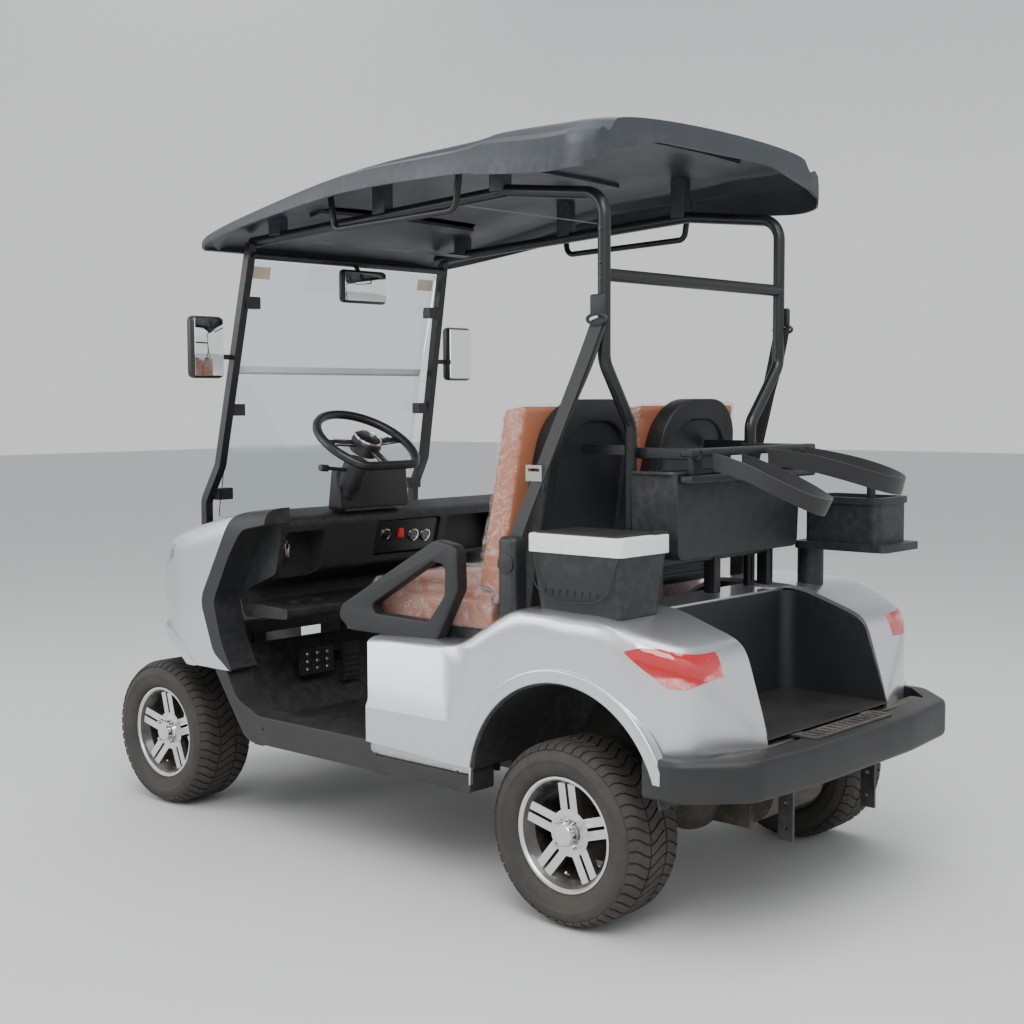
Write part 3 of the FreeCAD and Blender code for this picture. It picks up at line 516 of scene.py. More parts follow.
def tyreMesh():
    bm = bmesh.new()
    base = tyre["radius"] - tyre["lugDepth"] - 0.0004
    half, columns = tyre["treadHalf"], tyre["columns"]
    stops = sorted({-half + 2 * half * number / columns for number in range(columns + 1)}
                   | {g + s * tyre["grooveHalf"] for g in tyre["grooves"] for s in (-1, 1)})
    crown = [(a, base - 0.0012 * (a / half) ** 2 - 0.013 * max(0.0, (abs(a) - tyre["shoulder"]) / 0.026) ** 1.6)
             for a in stops]
    profile = [(-a, r) for a, r in reversed(tyreWall)] + crown + tyreWall
    verts = [bm.verts.new((a, 0.0, r)) for a, r in profile]
    edges = [bm.edges.new(pair) for pair in zip(verts, verts[1:])] + [bm.edges.new((verts[-1], verts[0]))]
    steps = tyre["lugs"] * 2
    bmesh.ops.spin(bm, geom=verts + edges, cent=(0, 0, 0), axis=(1, 0, 0), angle=math.tau, steps=steps,
                   use_merge=True)
    bmesh.ops.recalc_face_normals(bm, faces=bm.faces)
    step = math.tau / steps

    def column(vert):
        return round((math.atan2(vert.co.y, vert.co.z) % math.tau) / step) % steps

    lugs = []
    for face in bm.faces:
        middle = face.calc_center_median()
        if math.hypot(middle.y, middle.z) < 0.2 or abs(middle.x) > half:
            continue
        numbers = {column(vert) for vert in face.verts}
        first = min(numbers) if max(numbers) - min(numbers) == 1 else steps - 1
        inGroove = any(abs(middle.x - groove) < tyre["grooveHalf"] for groove in tyre["grooves"])
        if first % 2 == 0 and not inGroove:
            lugs.append(face)
    for vert in bm.verts:
        radius = math.hypot(vert.co.y, vert.co.z)
        if radius >= tyre["rubberFrom"]:
            shift = step * (tyre["lugShare"] * 2 - 1) / 2 * (1 if column(vert) % 2 else -1)
            bend = min(1.0, (radius - tyre["rubberFrom"]) / 0.012)
            shift += tyre["wave"] * math.sin(vert.co.x * tyre["waves"]) * bend
            vert.co = Matrix.Rotation(-shift, 3, "X") @ vert.co
    raised = bmesh.ops.extrude_face_region(bm, geom=lugs)["geom"]
    tops = [item for item in raised if isinstance(item, bmesh.types.BMFace)]
    bmesh.ops.delete(bm, geom=lugs, context="FACES")
    for vert in {vert for face in tops for vert in face.verts}:
        outward = Vector((0, vert.co.y, vert.co.z)).normalized()
        lean = max(0.0, abs(vert.co.x) - 0.07) / 0.022
        rise = min(tyre["lugDepth"], tyre["radius"] - math.hypot(vert.co.y, vert.co.z) - 0.0002)
        vert.co += outward * rise * (1 - 0.35 * lean) + Vector((math.copysign(0.003, vert.co.x) * lean, 0, 0))
    return bm


# wheel trim: chrome cap, nuts in their pockets and a valve
trim = dict(nutCircle=0.038, nutRadius=0.0085, capRadius=0.027, face=0.0465, capReach=0.085)


def wheelTrimMesh():
    bm = bmesh.new()
    cap, reach, face = trim["capRadius"], trim["capReach"], trim["face"]
    addTurned(bm, [(0.0, reach), (cap - 0.002, reach), (cap, reach - 0.002), (cap, face + 0.022),
                   (cap + 0.003, face + 0.018), (cap + 0.007, face + 0.010)], (0, 0, 0), (1, 0, 0), 48)
    for number in range(4):
        angle = math.radians(45 + 90 * number)
        y, z = math.cos(angle) * trim["nutCircle"], math.sin(angle) * trim["nutCircle"]
        for depth, radius, sides in ((0.020, trim["nutRadius"], 6), (0.028, trim["nutRadius"] * 0.72, 16)):
            addDisc(bm, (face + 0.008 + depth / 2, y, z), (1, 0, 0), radius, depth, sides, radius * 0.92, 0.0008)
    addTube(bm, [(0.052, 0.0, -0.104), (0.062, 0.0, -0.100), (0.070, 0.0, -0.094)], 0.003, 8)
    return bm


def atCorner(bm, corner):
    low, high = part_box("tyre_" + corner)
    if corner.endswith("right"):
        bmesh.ops.rotate(bm, verts=bm.verts, cent=(0, 0, 0), matrix=Matrix.Rotation(math.pi, 3, "Z"))
    bmesh.ops.translate(bm, verts=bm.verts, vec=(Vector(low) + Vector(high)) / 2)
    return bm


for corner in ("front_left", "front_right", "rear_left", "rear_right"):
    node = "tyre_" + corner
    addPiece(atCorner(tyreMesh(), corner), "tyre.tread." + corner, bodyOf[node], "tyre_rubber", (node,), smooth=30)
    addPiece(atCorner(wheelTrimMesh(), corner), "wheel.trim." + corner, bodyOf[node], "alloy", look="chrome")
print("wheels dressed")


# forms: outlines in millimetres from the rear axle, pushed through, combined and rounded as the real mouldings are
mm = 0.001
fore = -1680


def spot(x, y, z):
    return Vector((x * mm, rearY + y * mm, z * mm))


def rounded(corners, place):
    # corners are (a, b, radius); a corner with no radius stays sharp
    ring = []
    for number, (a, b, *more) in enumerate(corners):
        here = place(a, b)
        if not more:
            ring.append(here)
            continue
        inward = (place(*corners[number - 1][:2]) - here).normalized()
        onward = (place(*corners[(number + 1) % len(corners)][:2]) - here).normalized()
        half = inward.angle(onward) / 2
        centre = here + (inward + onward).normalized() * (more[0] * mm / math.sin(half))
        first = here + inward * (more[0] * mm / math.tan(half)) - centre
        last = here + onward * (more[0] * mm / math.tan(half)) - centre
        steps = 3 if more[0] < 12 else 5 if more[0] < 40 else 10
        turn = Matrix.Rotation(first.angle(last) / steps, 3, first.cross(last).normalized())
        for step in range(steps + 1):
            ring.append(centre + first)
            first = turn @ first
    return ring


def pushed(corners, place, along):
    bm = bmesh.new()
    face = bm.faces.new([bm.verts.new(point) for point in rounded(corners, place)])
    made = bmesh.ops.extrude_face_region(bm, geom=[face])["geom"]
    verts = [item for item in made if isinstance(item, bmesh.types.BMVert)]
    bmesh.ops.translate(bm, verts=verts, vec=Vector(along) * mm)
    bmesh.ops.recalc_face_normals(bm, faces=bm.faces)
    return bm


def sideForm(corners, xs):
    return pushed(corners, lambda y, z: spot(xs[0], y, z), (xs[1] - xs[0], 0, 0))


def planForm(corners, zs):
    return pushed(corners, lambda x, y: spot(x, y, zs[0]), (0, 0, zs[1] - zs[0]))


def frontForm(corners, ys):
    return pushed(corners, lambda x, z: spot(x, ys[0], z), (0, ys[1] - ys[0], 0))


def blockForm(xs, ys, zs, radius=0):
    bm = planForm([(xs[0], ys[0]), (xs[1], ys[0]), (xs[1], ys[1]), (xs[0], ys[1])], zs)
    return softened(bm, radius, everyEdge) if radius else bm


def drumForm(x, y, z, axis, radius, long, sides=64):
    bm = bmesh.new()
    addDisc(bm, spot(x, y, z) + Vector(axis) * (long * mm / 2), axis, radius * mm, long * mm, sides)
    return bm


def widened(corners):
    return corners + [(-x, *rest) for x, *rest in reversed(corners)]


def holderOf(bm):
    mesh = bpy.data.meshes.new("form")
    bm.to_mesh(mesh)
    holder = bpy.data.objects.new("form", mesh)
    bpy.context.collection.objects.link(holder)
    return holder


def finished(holders):
    # the first holder's form with its modifiers; the holders go
    mesh = bpy.data.meshes.new_from_object(holders[0].evaluated_get(bpy.context.evaluated_depsgraph_get()))
    for holder in holders:
        bpy.data.meshes.remove(holder.data)
    out = bmesh.new()
    out.from_mesh(mesh)
    bpy.data.meshes.remove(mesh)
    return out


def combine(first, others, how="DIFFERENCE"):
    holders = [holderOf(form) for form in (first, *others)]
    for tool in holders[1:]:
        step = holders[0].modifiers.new("combine", "BOOLEAN")
        step.operation, step.solver, step.object = how, "EXACT", tool
    return finished(holders)


def common(first, second):
    return combine(first, [second], "INTERSECT")


def melted(bm, voxel, passes):
    # the form in even cells, relaxed until its edges are as round as a moulding's
    holder = holderOf(bm)
    cells = holder.modifiers.new("cells", "REMESH")
    cells.mode, cells.voxel_size = "VOXEL", voxel
    out = finished([holder])
    for _ in range(passes):
        bmesh.ops.smooth_vert(out, verts=out.verts, factor=0.5, use_axis_x=True, use_axis_y=True, use_axis_z=True)
    out.normal_update()
    return out


def joinedForms(forms):
    out = forms[0].copy()
    for form in forms[1:]:
        mesh = bpy.data.meshes.new("form")
        form.to_mesh(mesh)
        out.from_mesh(mesh)
        bpy.data.meshes.remove(mesh)
    return out


def moved(bm, x, y, z):
    out = bm.copy()
    bmesh.ops.translate(out, verts=out.verts, vec=Vector((x, y, z)) * mm)
    return out


def mirrored(bm):
    out = bm.copy()
    bmesh.ops.scale(out, verts=out.verts, vec=(-1, 1, 1))
    bmesh.ops.reverse_faces(out, faces=out.faces)
    return out


def pairOf(*forms):
    both = joinedForms(forms)
    return joinedForms([both, mirrored(both)])


def thinned(bm, depth):
    # a copy with its skin moved inwards
    out = bm.copy()
    out.normal_update()
    for vert, move in [(vert, vert.normal * (-depth * mm)) for vert in out.verts]:
        vert.co += move
    return out


# which edges softened takes, by their middle in millimetres from the rear axle and their way
def everyEdge(place, way):
    return True


def upright(place, way):
    return abs(way.z) > 0.9


def fromFront(place, way):
    return abs(way.y) > 0.9


def above(height):
    return lambda place, way: place.z > height


def softened(bm, radius, wanted, segments=4):
    bmesh.ops.remove_doubles(bm, verts=bm.verts, dist=0.00002)
    bmesh.ops.dissolve_limit(bm, angle_limit=math.radians(0.6), verts=bm.verts, edges=bm.edges)
    picked = []
    for edge in bm.edges:
        if len(edge.link_faces) == 2 and edge.calc_face_angle(0) > math.radians(22):
            middle = (edge.verts[0].co + edge.verts[1].co) / 2 - Vector((0, rearY, 0))
            if wanted(middle / mm, (edge.verts[1].co - edge.verts[0].co).normalized()):
                picked.append(edge)
    bevelled(bm, picked, radius * mm, segments, clamp_overlap=True)
    return bm


def lofted(rings):
    bm = bmesh.new()
    loops = []
    for ring in rings:
        verts = [bm.verts.new(point) for point in ring]
        loops.append([bm.edges.new(pair) for pair in zip(verts, verts[1:] + verts[:1])])
    for first, second in zip(loops, loops[1:]):
        bmesh.ops.bridge_loops(bm, edges=first + second)
    for loop in (loops[0], loops[-1]):
        bmesh.ops.contextual_create(bm, geom=loop)
    bmesh.ops.recalc_face_normals(bm, faces=bm.faces)
    return bm


def archBand(y, z, radius, width, xs):
    ring = drumForm(xs[0], y, z, (1, 0, 0), radius + width, xs[1] - xs[0], 96)
    return combine(ring, [drumForm(xs[0] - 5, y, z, (1, 0, 0), radius, xs[1] - xs[0] + 10, 96)])


# rear body: two hollow quarters with recessed side panels and arch lips, and the deck between them
body = dict(side=590, wall=6, panelStep=9, lip=34, proud=9, archRadius=295, archZ=300, wellHalf=290)
side, inner = body["side"], body["wellHalf"] + 0.3
# made past its open sides, which are cut off once it is round
quarterSide = [(-780, 210), (-780, 634), (-352, 652, 40), (-165, 762, 120), (118, 758, 200), (322, 690, 45),
               (418, 380), (418, 210)]
quarterPlan = [(inner - 90, -780), (side, -780), (side, 215, 120), (side - 68, 325, 80), (inner - 90, 418)]
# the recess above the side panel's ledge: its floor, and its wider mouth
ledgeRings = [
    # outline, how far out
    ([(-720, 470), (-378, 472, 24), (-345, 560, 60), (-352, 660), (-352, 720), (-720, 720)],
     side - body["panelStep"]),
    ([(-720, 448), (-364, 450, 34), (-306, 560, 80), (-275, 660), (-275, 720), (-720, 720)], side + 1),
]
lampOutline = [(186, 692, 3), (225, 703, 20), (262, 700, 30), (305, 688, 20), (331, 674, 8), (347, 650, 8),
               (346, 628, 8), (318, 608, 12), (283, 612, 20), (250, 642, 60), (205, 677, 20)]
quarter = melted(common(sideForm(quarterSide, (inner - 90, side + 50)), planForm(quarterPlan, (200, 800))), 0.010, 36)
quarterInner = thinned(quarter, body["panelStep"] + 1.5)
opened = blockForm((inner, side + 30), (-679, 450), (300, 820))
ledge = lofted([rounded(outline, lambda y, z: spot(x, y, z)) for outline, x in ledgeRings])
sill = sideForm([(-295, 278, 8), (-295, 345, 6), (-687, 360, 30), (-1138, 360, 60), (-1240, 400, 50), (-1285, 476, 4),
                 (-1341, 476, 4), (-1195, 278, 70)], (side - 88, side))
sill = softened(sill, 9, lambda place, way: place.x > side - 1)
dress(pairOf(sill), "sills", "trim_plastic", ("rocker_sills",))
lip = archBand(0, body["archZ"], body["archRadius"], body["lip"], (side - 20, side + body["proud"]))
lip = softened(lip, 5, lambda place, way: place.x > side + 8 and abs(way.x) < 0.5)
lip = common(lip, blockForm((500, 640), (-340, 300), (346, 700)))
lip = combine(lip, [blockForm((480, 660), (200, 340), (300, 400))])

outerPlan = widened([(side + 8, 250), (side + 8, 345, 70), (470, 474, 110), (230, 498, 500)])
innerPlan = widened([(side - 28, 240), (side - 28, 318, 40), (455, 412, 70), (230, 420, 300)])
bumper = softened(planForm(outerPlan, (362, 458)), 14, lambda place, way: place.y > 260 and abs(way.z) < 0.5)
bumper = combine(bumper, [planForm(innerPlan, (300, 600))])
dress(bumper, "bumper.rear", "trim_plastic", ("rear_bumper",))

lampPocket = sideForm(lampOutline, (404, side + 30))
arch = drumForm(300, 0, body["archZ"], (1, 0, 0), body["archRadius"], 400, 96)
openings = [blockForm((280, 484), (-700, -301), (280, 820)), blockForm((280, side + 20), (200, 440), (280, 400))]
shell = combine(common(quarter, opened), [quarterInner, ledge, arch, *openings, lampPocket, sill])
lamp = combine(common(lampPocket, quarter), [moved(quarterInner, -18, -16, -6)])
dress(pairOf(lamp), "lamps.tail", "tail_glass", ("tail_lamps",))
deckTop, deckUnder = (widened([(322, z), (300, z, 8), (286, z - 9, 8)]) for z in (757, 751))
deck = frontForm(deckTop + deckUnder[::-1], (-60, 70))
dress(joinedForms([pairOf(shell, lip), deck]), "body.rear", "body_paint", ("rear_body",))

# bag well: a tub with rounded front corners, open above and behind
well = planForm([(290, 72, 46), (290, 404), (-290, 404), (-290, 72, 46)], (465, 800))
well = combine(well, [planForm([(285, 77, 41), (285, 440), (-285, 440), (-285, 77, 41)], (470, 820))])
wellSide = [(60, 400), (60, 742), (118, 742, 150), (318, 676, 45), (392, 458), (392, 400)]
well = common(well, sideForm(wellSide, (-400, 400)))
dress(well, "bag.well", "trim_plastic", ("bag_well",))

# front cowl: one hollow form over both wheels, from a side outline and a plan outline
cowlSide = [(fore + 680, 969), (fore + 380, 935, 150), (fore + 120, 868, 300), (fore - 110, 775, 200),
            (fore - 255, 650, 90), (fore - 270, 520, 80), (fore - 225, 380, 40), (fore - 170, 300),
            (fore - 170, 210), (fore + 680, 210)]
cowlHalf = [(side, fore + 760), (side, fore + 135, 200), (475, fore - 65, 150), (300, fore - 205, 250),
            (0, fore - 280, 900)]
cowlPlan = cowlHalf + [(-x, *rest) for x, *rest in reversed(cowlHalf[:-1])]
hoopFront = [(fore + 585, 962), (fore + 434, 944, 70), (fore + 378, 840, 60), (fore + 282, 677, 70),
             (fore + 341, 525, 60)]
hoopBack = [(fore + 425, 484), (fore + 380, 560, 50), (fore + 345, 677, 60), (fore + 420, 812, 60),
            (fore + 482, 896, 60), (fore + 585, 916)]
lampFront = [(300, 642, 10), (338, 712, 30), (450, 780, 80), (578, 838, 6), (578, 790, 10), (500, 716, 80),
             (400, 655, 60)]
frontArch = dict(y=fore, z=axleZ / mm, radius=330)

cowl = melted(common(sideForm(cowlSide, (-side - 50, side + 50)), planForm(cowlPlan, (200, 1000))), 0.012, 44)
cowlInner = thinned(cowl, body["wall"])
wheelRoom = drumForm(215, frontArch["y"], frontArch["z"], (1, 0, 0), frontArch["radius"], side - 155, 96)
lipBand = archBand(frontArch["y"], frontArch["z"], frontArch["radius"], 26, (275, side + 50))
lipBand = combine(common(lipBand, moved(cowl, 9, -5, 4)), [cowlInner])
doorway = sideForm(hoopFront + [(fore + 418, 476, 4), (fore + 418, 290), (fore + 700, 290), (fore + 700, 1100),
                                (fore + 585, 1100)], (-700, 700))
lowCuts = [blockForm((-700, 700), (fore - 600, fore + 100), (200, 396)),
           blockForm((-700, 700), (fore + 40, fore + 800), (200, 476))]
lampTools = [frontForm([(hand * x, *rest) for x, *rest in lampFront], (fore - 300, fore + 200)) for hand in (1, -1)]
dashRoom = blockForm((-497, 497), (fore + 150, fore + 800), (600, 1000))
front = combine(cowl, [cowlInner, wheelRoom, mirrored(wheelRoom), doorway, dashRoom, *lowCuts, *lampTools])
lipBand = combine(lipBand, [doorway, *lowCuts])
dress(joinedForms([front, lipBand, mirrored(lipBand)]), "cowl.front", "body_paint", ("front_cowl",))
lamps = [combine(common(tool, cowl), [moved(cowlInner, 0, 22, -16)]) for tool in lampTools]
dress(joinedForms(lamps), "lamps.head", "head_glass", ("headlamps",))
hoop = common(sideForm([*hoopFront, (fore + 418, 476, 4), *hoopBack], (496, side + 50)), moved(cowl, 4, 0, 3))
dress(pairOf(hoop), "cowl.hoop", "trim_plastic", ("cowl_trim",))
nosePlan = [(150, fore - 264, 60), (205, fore - 226, 6), (205, fore - 206, 4), (140, fore - 236, 40)]
nose = planForm(widened(nosePlan), (300, 395.7))
nose = softened(nose, 6, lambda place, way: place.y < fore - 238 and abs(way.z) < 0.5)
dress(nose, "bumper.front", "trim_plastic", ("front_bumper",))
print("body dressed")

# roof: a crowned skin with a gutter along each side, its rear end arched
roofTable = [
    # y, half width, rim z, ridge rise, crown z
    (fore + 210, side - 90, 1718, 16, 1745), (fore + 280, side - 40, 1732, 24, 1775),
    (fore + 530, side - 7, 1767, 34, 1840), (fore + 930, side, 1815, 52, 1908),
    (-350, side - 2, 1822, 62, 1938), (-250, side - 4, 1813, 84, 1948),
    (-80, side - 15, 1802, 92, 1954), (0, side - 36, 1808, 92, 1956), (42, side - 88, 1816, 90, 1956.5),
]
roofNotch = [(-560, 1700), (-545, 1812, 20), (-455, 1853, 120), (-255, 1898, 300), (255, 1898, 300), (455, 1853, 120),
             (545, 1812, 20), (560, 1700)]


def eased(rows, steps):
    # rows between the table's own, on a smooth curve through them
    out = []
    for number in range(len(rows) - 1):
        a, b, c, d = (rows[min(max(number + k, 0), len(rows) - 1)] for k in (-1, 0, 1, 2))
        for step in range(steps):
            t = step / steps
            out.append([0.5 * (2 * q + (r - p) * t + (2 * p - 5 * q + 4 * r - s) * t * t
                               + (3 * q - p - 3 * r + s) * t ** 3) for p, q, r, s in zip(a, b, c, d)])
    return out + [list(rows[-1])]


def roofRing(y, half, rim, ridge, crown, inset):
    half, peak, low = half - inset, rim + ridge - inset, rim - (30 if inset else 0)
    edge = [(half, low), (half, rim + ridge * 0.55 - inset), (half - 5, rim + ridge * 0.85 - inset),
            (half - 20, peak), (half - 32, peak - 1), (half - 44, peak - 6), (half - 50, peak - 5),
            (half - 72, peak + (crown - inset - peak) * 0.4)]
    x, z = edge[-1]
    for number in range(1, 13):
        angle = math.radians(number * 7.5)
        edge.append((x * math.cos(angle), z + (crown - inset - z) * math.sin(angle)))
    return [spot(*point) for point in [(x, y, z) for x, z in edge] + [(-x, y, z) for x, z in reversed(edge[:-1])]]


def roofForm(inset):
    rows = eased(roofTable, 4)
    rows[0][0] += inset
    rows[-1][0] -= inset
    return lofted([roofRing(*row, inset) for row in rows])


roofInner = roofForm(10)
roofForms = [combine(roofForm(0), [roofInner, frontForm(roofNotch, (24, 80))])]
strutX = 395
for y, low in ((fore + 430, 1754), (fore + 880, 1779), (-360, 1800)):
    boss = blockForm((strutX - 18, strutX + 18), (y - 25, y + 25), (low, 1960), 4)
    roofForms.append(pairOf(common(boss, roofForm(5))))
# ribs pressed across the underside
for y in (-1160, -560, -130):
    rib = common(blockForm((-330, 330), (y - 22, y + 22), (1700, 1960)), roofInner)
    roofForms.append(combine(rib, [roofForm(20)]))
dress(joinedForms(roofForms), "roof.skin", "roof_plastic", ("roof",))

# dash: a hollow block with glove pockets, and its shelf with cup holders below
dashHalf = 496.7
dash = sideForm([(fore + y, *rest) for y, *rest in (
    (150.3, 872), (480, 948, 30), (558, 922, 26), (516, 760, 24), (392, 712, 20), (392, 668, 6), (568, 662, 6),
    (568, 632, 10), (372, 624, 20), (346, 688, 20), (282, 700))], (-dashHalf, dashHalf))
cavity = sideForm([(fore + y, z) for y, z in (
    (100, 866), (472, 938), (544, 914), (506, 774), (390, 722), (100, 722))], (-dashHalf + 8, dashHalf - 8))
pocketTable = [
    # x low, x high, z low, z high, floor
    (-450, -190, 775, 895, 470), (330, 478, 742, 884, 470), (-160, 118, 786, 896, 496),
]
pockets = [softened(blockForm((a, b), (fore + floor, fore + 600), (c, d)), 14, fromFront)
           for a, b, c, d, floor in pocketTable]
pocketWalls = [blockForm((a - 7, b + 7), (fore + floor - 7, fore + 600), (c - 7, d + 7))
               for a, b, c, d, floor in pocketTable]
cups = [drumForm(x, fore + 480, 640, (0, 0, 1), 36, 60, 32) for x in (-400, -310, 310, 400)]
dash = combine(dash, [combine(cavity, pocketWalls), *pockets, *cups])
dress(combine(dash, [front]), "dash.moulding", "trim_plastic", ("dash",))

# seat back shells: humped, with a recess behind
seatHalf, backTop, humpX = 470, 1255, 232


def humpForm(reach, low, lean, top, crest, *rounding):
    return frontForm([(humpX - reach, low, *rounding), (humpX - reach + lean, top, crest),
                      (humpX + reach - lean, top, crest), (humpX + reach, low, *rounding)], (-400, -100))


shellForm = sideForm([(-309.7, 741), (-236, 741), (-158, backTop + 15), (-212, backTop + 15)], (0, seatHalf))
recess = common(humpForm(140, 770, 10, backTop - 45, 110, 30),
                sideForm([(-249, 741), (-171, backTop + 15), (-100, backTop + 15), (-160, 741)], (0, seatHalf)))
seatShell = combine(common(shellForm, humpForm(190, 741, 18, backTop + 13, 130)), [recess])
seatShell = softened(seatShell, 10, lambda place, way: place.y > -252 and abs(way.y) < 0.8, 3)
dress(pairOf(seatShell), "seat.shells", "trim_plastic", ("seat_back_shells",))

# armrest loops
armX = seatHalf + 25
loop = sideForm([(-850, 672, 22), (-832, 708, 24), (-470, 906, 34), (-392, 893, 28), (-388, 780, 40), (-470, 638, 20),
                 (-800, 638, 22)], (armX, armX + 40))
hole = sideForm([(-752, 694, 16), (-480, 850, 26), (-434, 842, 20), (-436, 765, 30), (-496, 690, 18)],
                (armX - 20, armX + 60))
armrest = softened(combine(loop, [hole]), 8, lambda place, way: abs(way.x) < 0.5)
dress(pairOf(combine(armrest, [quarter])), "armrest.loops", "trim_plastic", ("armrests",))

# mirrors: rounded shells on short arms
sideMirror = blockForm((480, side + 9), (fore + 240, fore + 278), (1335, 1520), 16)
innerMirror = blockForm((-95, 95), (fore + 350, fore + 380), (1575, 1680), 14)
arm, stem = bmesh.new(), bmesh.new()
addTube(arm, [spot(435, fore + 250, 1400), spot(465, fore + 254, 1400), spot(500, fore + 258, 1400)], 0.008, 12)
addTube(stem, [spot(0, fore + 330, 1698), spot(0, fore + 345, 1680), spot(0, fore + 365, 1650)], 0.007, 12)
dress(joinedForms([pairOf(sideMirror, arm), innerMirror, stem]), "mirror.shells", "gloss_plastic", ("mirrors",))

# basket, its stand, and the bag holder
tub = frontForm([(300, 1085), (292, 870, 24), (-258, 870, 24), (-270, 1085)], (-10, 130))
tub = softened(tub, 22, lambda place, way: place.y > 129 and (abs(way.z) > 0.9 or place.z < 872))
tub = combine(tub, [frontForm([(292, 1110), (284, 880, 20), (-250, 880, 20), (-262, 1110)], (-2, 122))])
rimBar = bmesh.new()
addTube(rimBar, [spot(x, y, 1084) for x, y in ((304, 0), (304, 60), (304, 134), (100, 134), (-100, 134), (-274, 134),
                                               (-274, 60), (-274, 0))], 0.006, 10)
dress(joinedForms([tub, rimBar]), "basket.tub", "trim_plastic", ("basket",))
stand = [blockForm((x - 15, x + 15), (12, 48), (757, 869.7), 4) for x in (-255, 0, 255)]
stand.append(blockForm((-270, 270), (16, 44), (846, 869.7), 4))
dress(joinedForms(stand), "bag.stand", "post_paint", ("bag_stand",))
wings = [blockForm((x - 5, x + 5), (-48, 166), (1118, 1146), 3) for x in (-251, 251)]
rails = [blockForm((-292, 292), (130.3, 166), (z - 10, z + 10), 6) for z in (1136, 1070)]
plates = [blockForm((x - 20, x + 20), (132, 150), (1070, 1136), 2) for x in (-240, 0, 240)]
dress(joinedForms(wings + rails + plates), "bag.holder", "trim_plastic", ("bag_holder",))

# cooler: a tapered box with grooves and fins, its lid on a hinge along the front edge
cooler = dict(x=455, y=10, low=765, rim=900, wide=95, long=140, wall=8, grooves=9, axisY=-135)
middleX = cooler["x"]


def coolerForm(inset, low, high):
    def tapered(middle, half, taper):
        return [(middle - half + inset, high), (middle - half + taper + inset, low),
                (middle + half - taper - inset, low), (middle + half - inset, high)]

    form = common(sideForm(tapered(cooler["y"], cooler["long"], 16), (middleX - 200, middleX + 200)),
                  frontForm(tapered(middleX, cooler["wide"], 14), (-300, 300)))
    return softened(form, 20 - inset, upright)


grooves = []
for number in range(cooler["grooves"]):
    y = cooler["y"] - 92 + number * 23
    grooves.append(sideForm([(y - 5, 770), (y - 5, 812, 4.9), (y + 5, 812, 4.9), (y + 5, 770)],
                            (middleX + 84.5, middleX + 120)))
box = combine(coolerForm(0, 753, cooler["rim"]), [coolerForm(cooler["wall"], 777, cooler["rim"] + 20), *grooves])
dress(combine(box, [quarter]), "cooler.tub", "trim_plastic", ("cooler_box",))
lid = softened(blockForm((middleX - 100, middleX + 100), (-135, 155), (900.6, 945)), 16, upright)
lid = combine(softened(lid, 5, above(944)), [blockForm((middleX - 66, middleX + 66), (-143, -127), (890, 909))])
lid = joinedForms([lid, drumForm(middleX - 50, cooler["axisY"] + 1, 903, (1, 0, 0), 5, 100, 20),
                   blockForm((middleX - 50, middleX + 50), (-134, -124), (901, 908))])
dress(lid, "cooler.lid", "lid_plastic", ("cooler_lid",))

# ball washer: its shelf, tub with a rim, and the can behind
washerTub = softened(blockForm((-472, -328), (120, 332), (880, 1010)), 15, upright)
shelf, tub, rim = (softened(blockForm(*place), radius, upright) for *place, radius in (
    ((-500, -300), (90, 370), (858, 878), 18), ((-480, -320), (112, 340), (870, 992), 22),
    ((-486, -314), (106, 346), (984, 1002), 24)))
can = drumForm(-380, 100, 750, (0, 0, 1), 36, 110, 32)
washer = [shelf, combine(tub, [washerTub]), combine(rim, [washerTub]), can]
washer = joinedForms([combine(form, [mirrored(quarter)]) for form in washer])
dress(washer, "washer.shelf", "trim_plastic", ("ball_washer",))
print("cabin and roof dressed")


# seats: the CAD forms crowned, with sewn channels and pulled-in sides
seat = dict(voxel=0.009, pull=0.006, channelDepth=0.006, channelWidth=0.006, filmGap=0.004, filmWave=0.010,
            filmRoll=1.5)


def moulded(nodeName, shape, voxel):
    # voxel copy of a CAD solid, its points moved by shape
    bm = bmesh.new()
    bm.from_mesh(frame["nodes"][nodeName].data)
    bmesh.ops.remove_doubles(bm, verts=bm.verts, dist=0.00005)
    out = melted(bm, voxel, 4)
    for vert, move in [(vert, shape(vert.co, vert.normal)) for vert in out.verts]:
        vert.co += move
    return out


def dip(value, width):
    return math.exp(-(value / width) ** 2)


def cushionShape(place, normal):
    low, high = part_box("seat_cushion")
    u = 2 * (place.x - low[0]) / (high[0] - low[0]) - 1
    v = 2 * (place.y - low[1]) / (high[1] - low[1]) - 1
    w = (place.z - low[2]) / (high[2] - low[2])
    up = max(0.0, normal.z)
    half = abs(u) * (high[0] - low[0]) / 2
    bulge = (1 - (2 * abs(abs(u) - 0.5)) ** 4) * (1 - abs(v) ** 6)
    move = Vector((0, 0, up * (bulge * 0.004 - 0.006)))
    for seam in (0.0, 0.16, 0.31):
        move.z -= up * seat["channelDepth"] * (1.6 if seam == 0.0 else 1.0) * dip(half - seam, seat["channelWidth"])
    move.z -= up * seat["channelDepth"] * dip(place.y - low[1] - 0.12, 0.007)
    if abs(normal.z) < 0.7:
        inward = -Vector((normal.x, normal.y, 0))
        move += inward * seat["pull"] * (0.3 + dip(w - 0.62, 0.06))
    return move


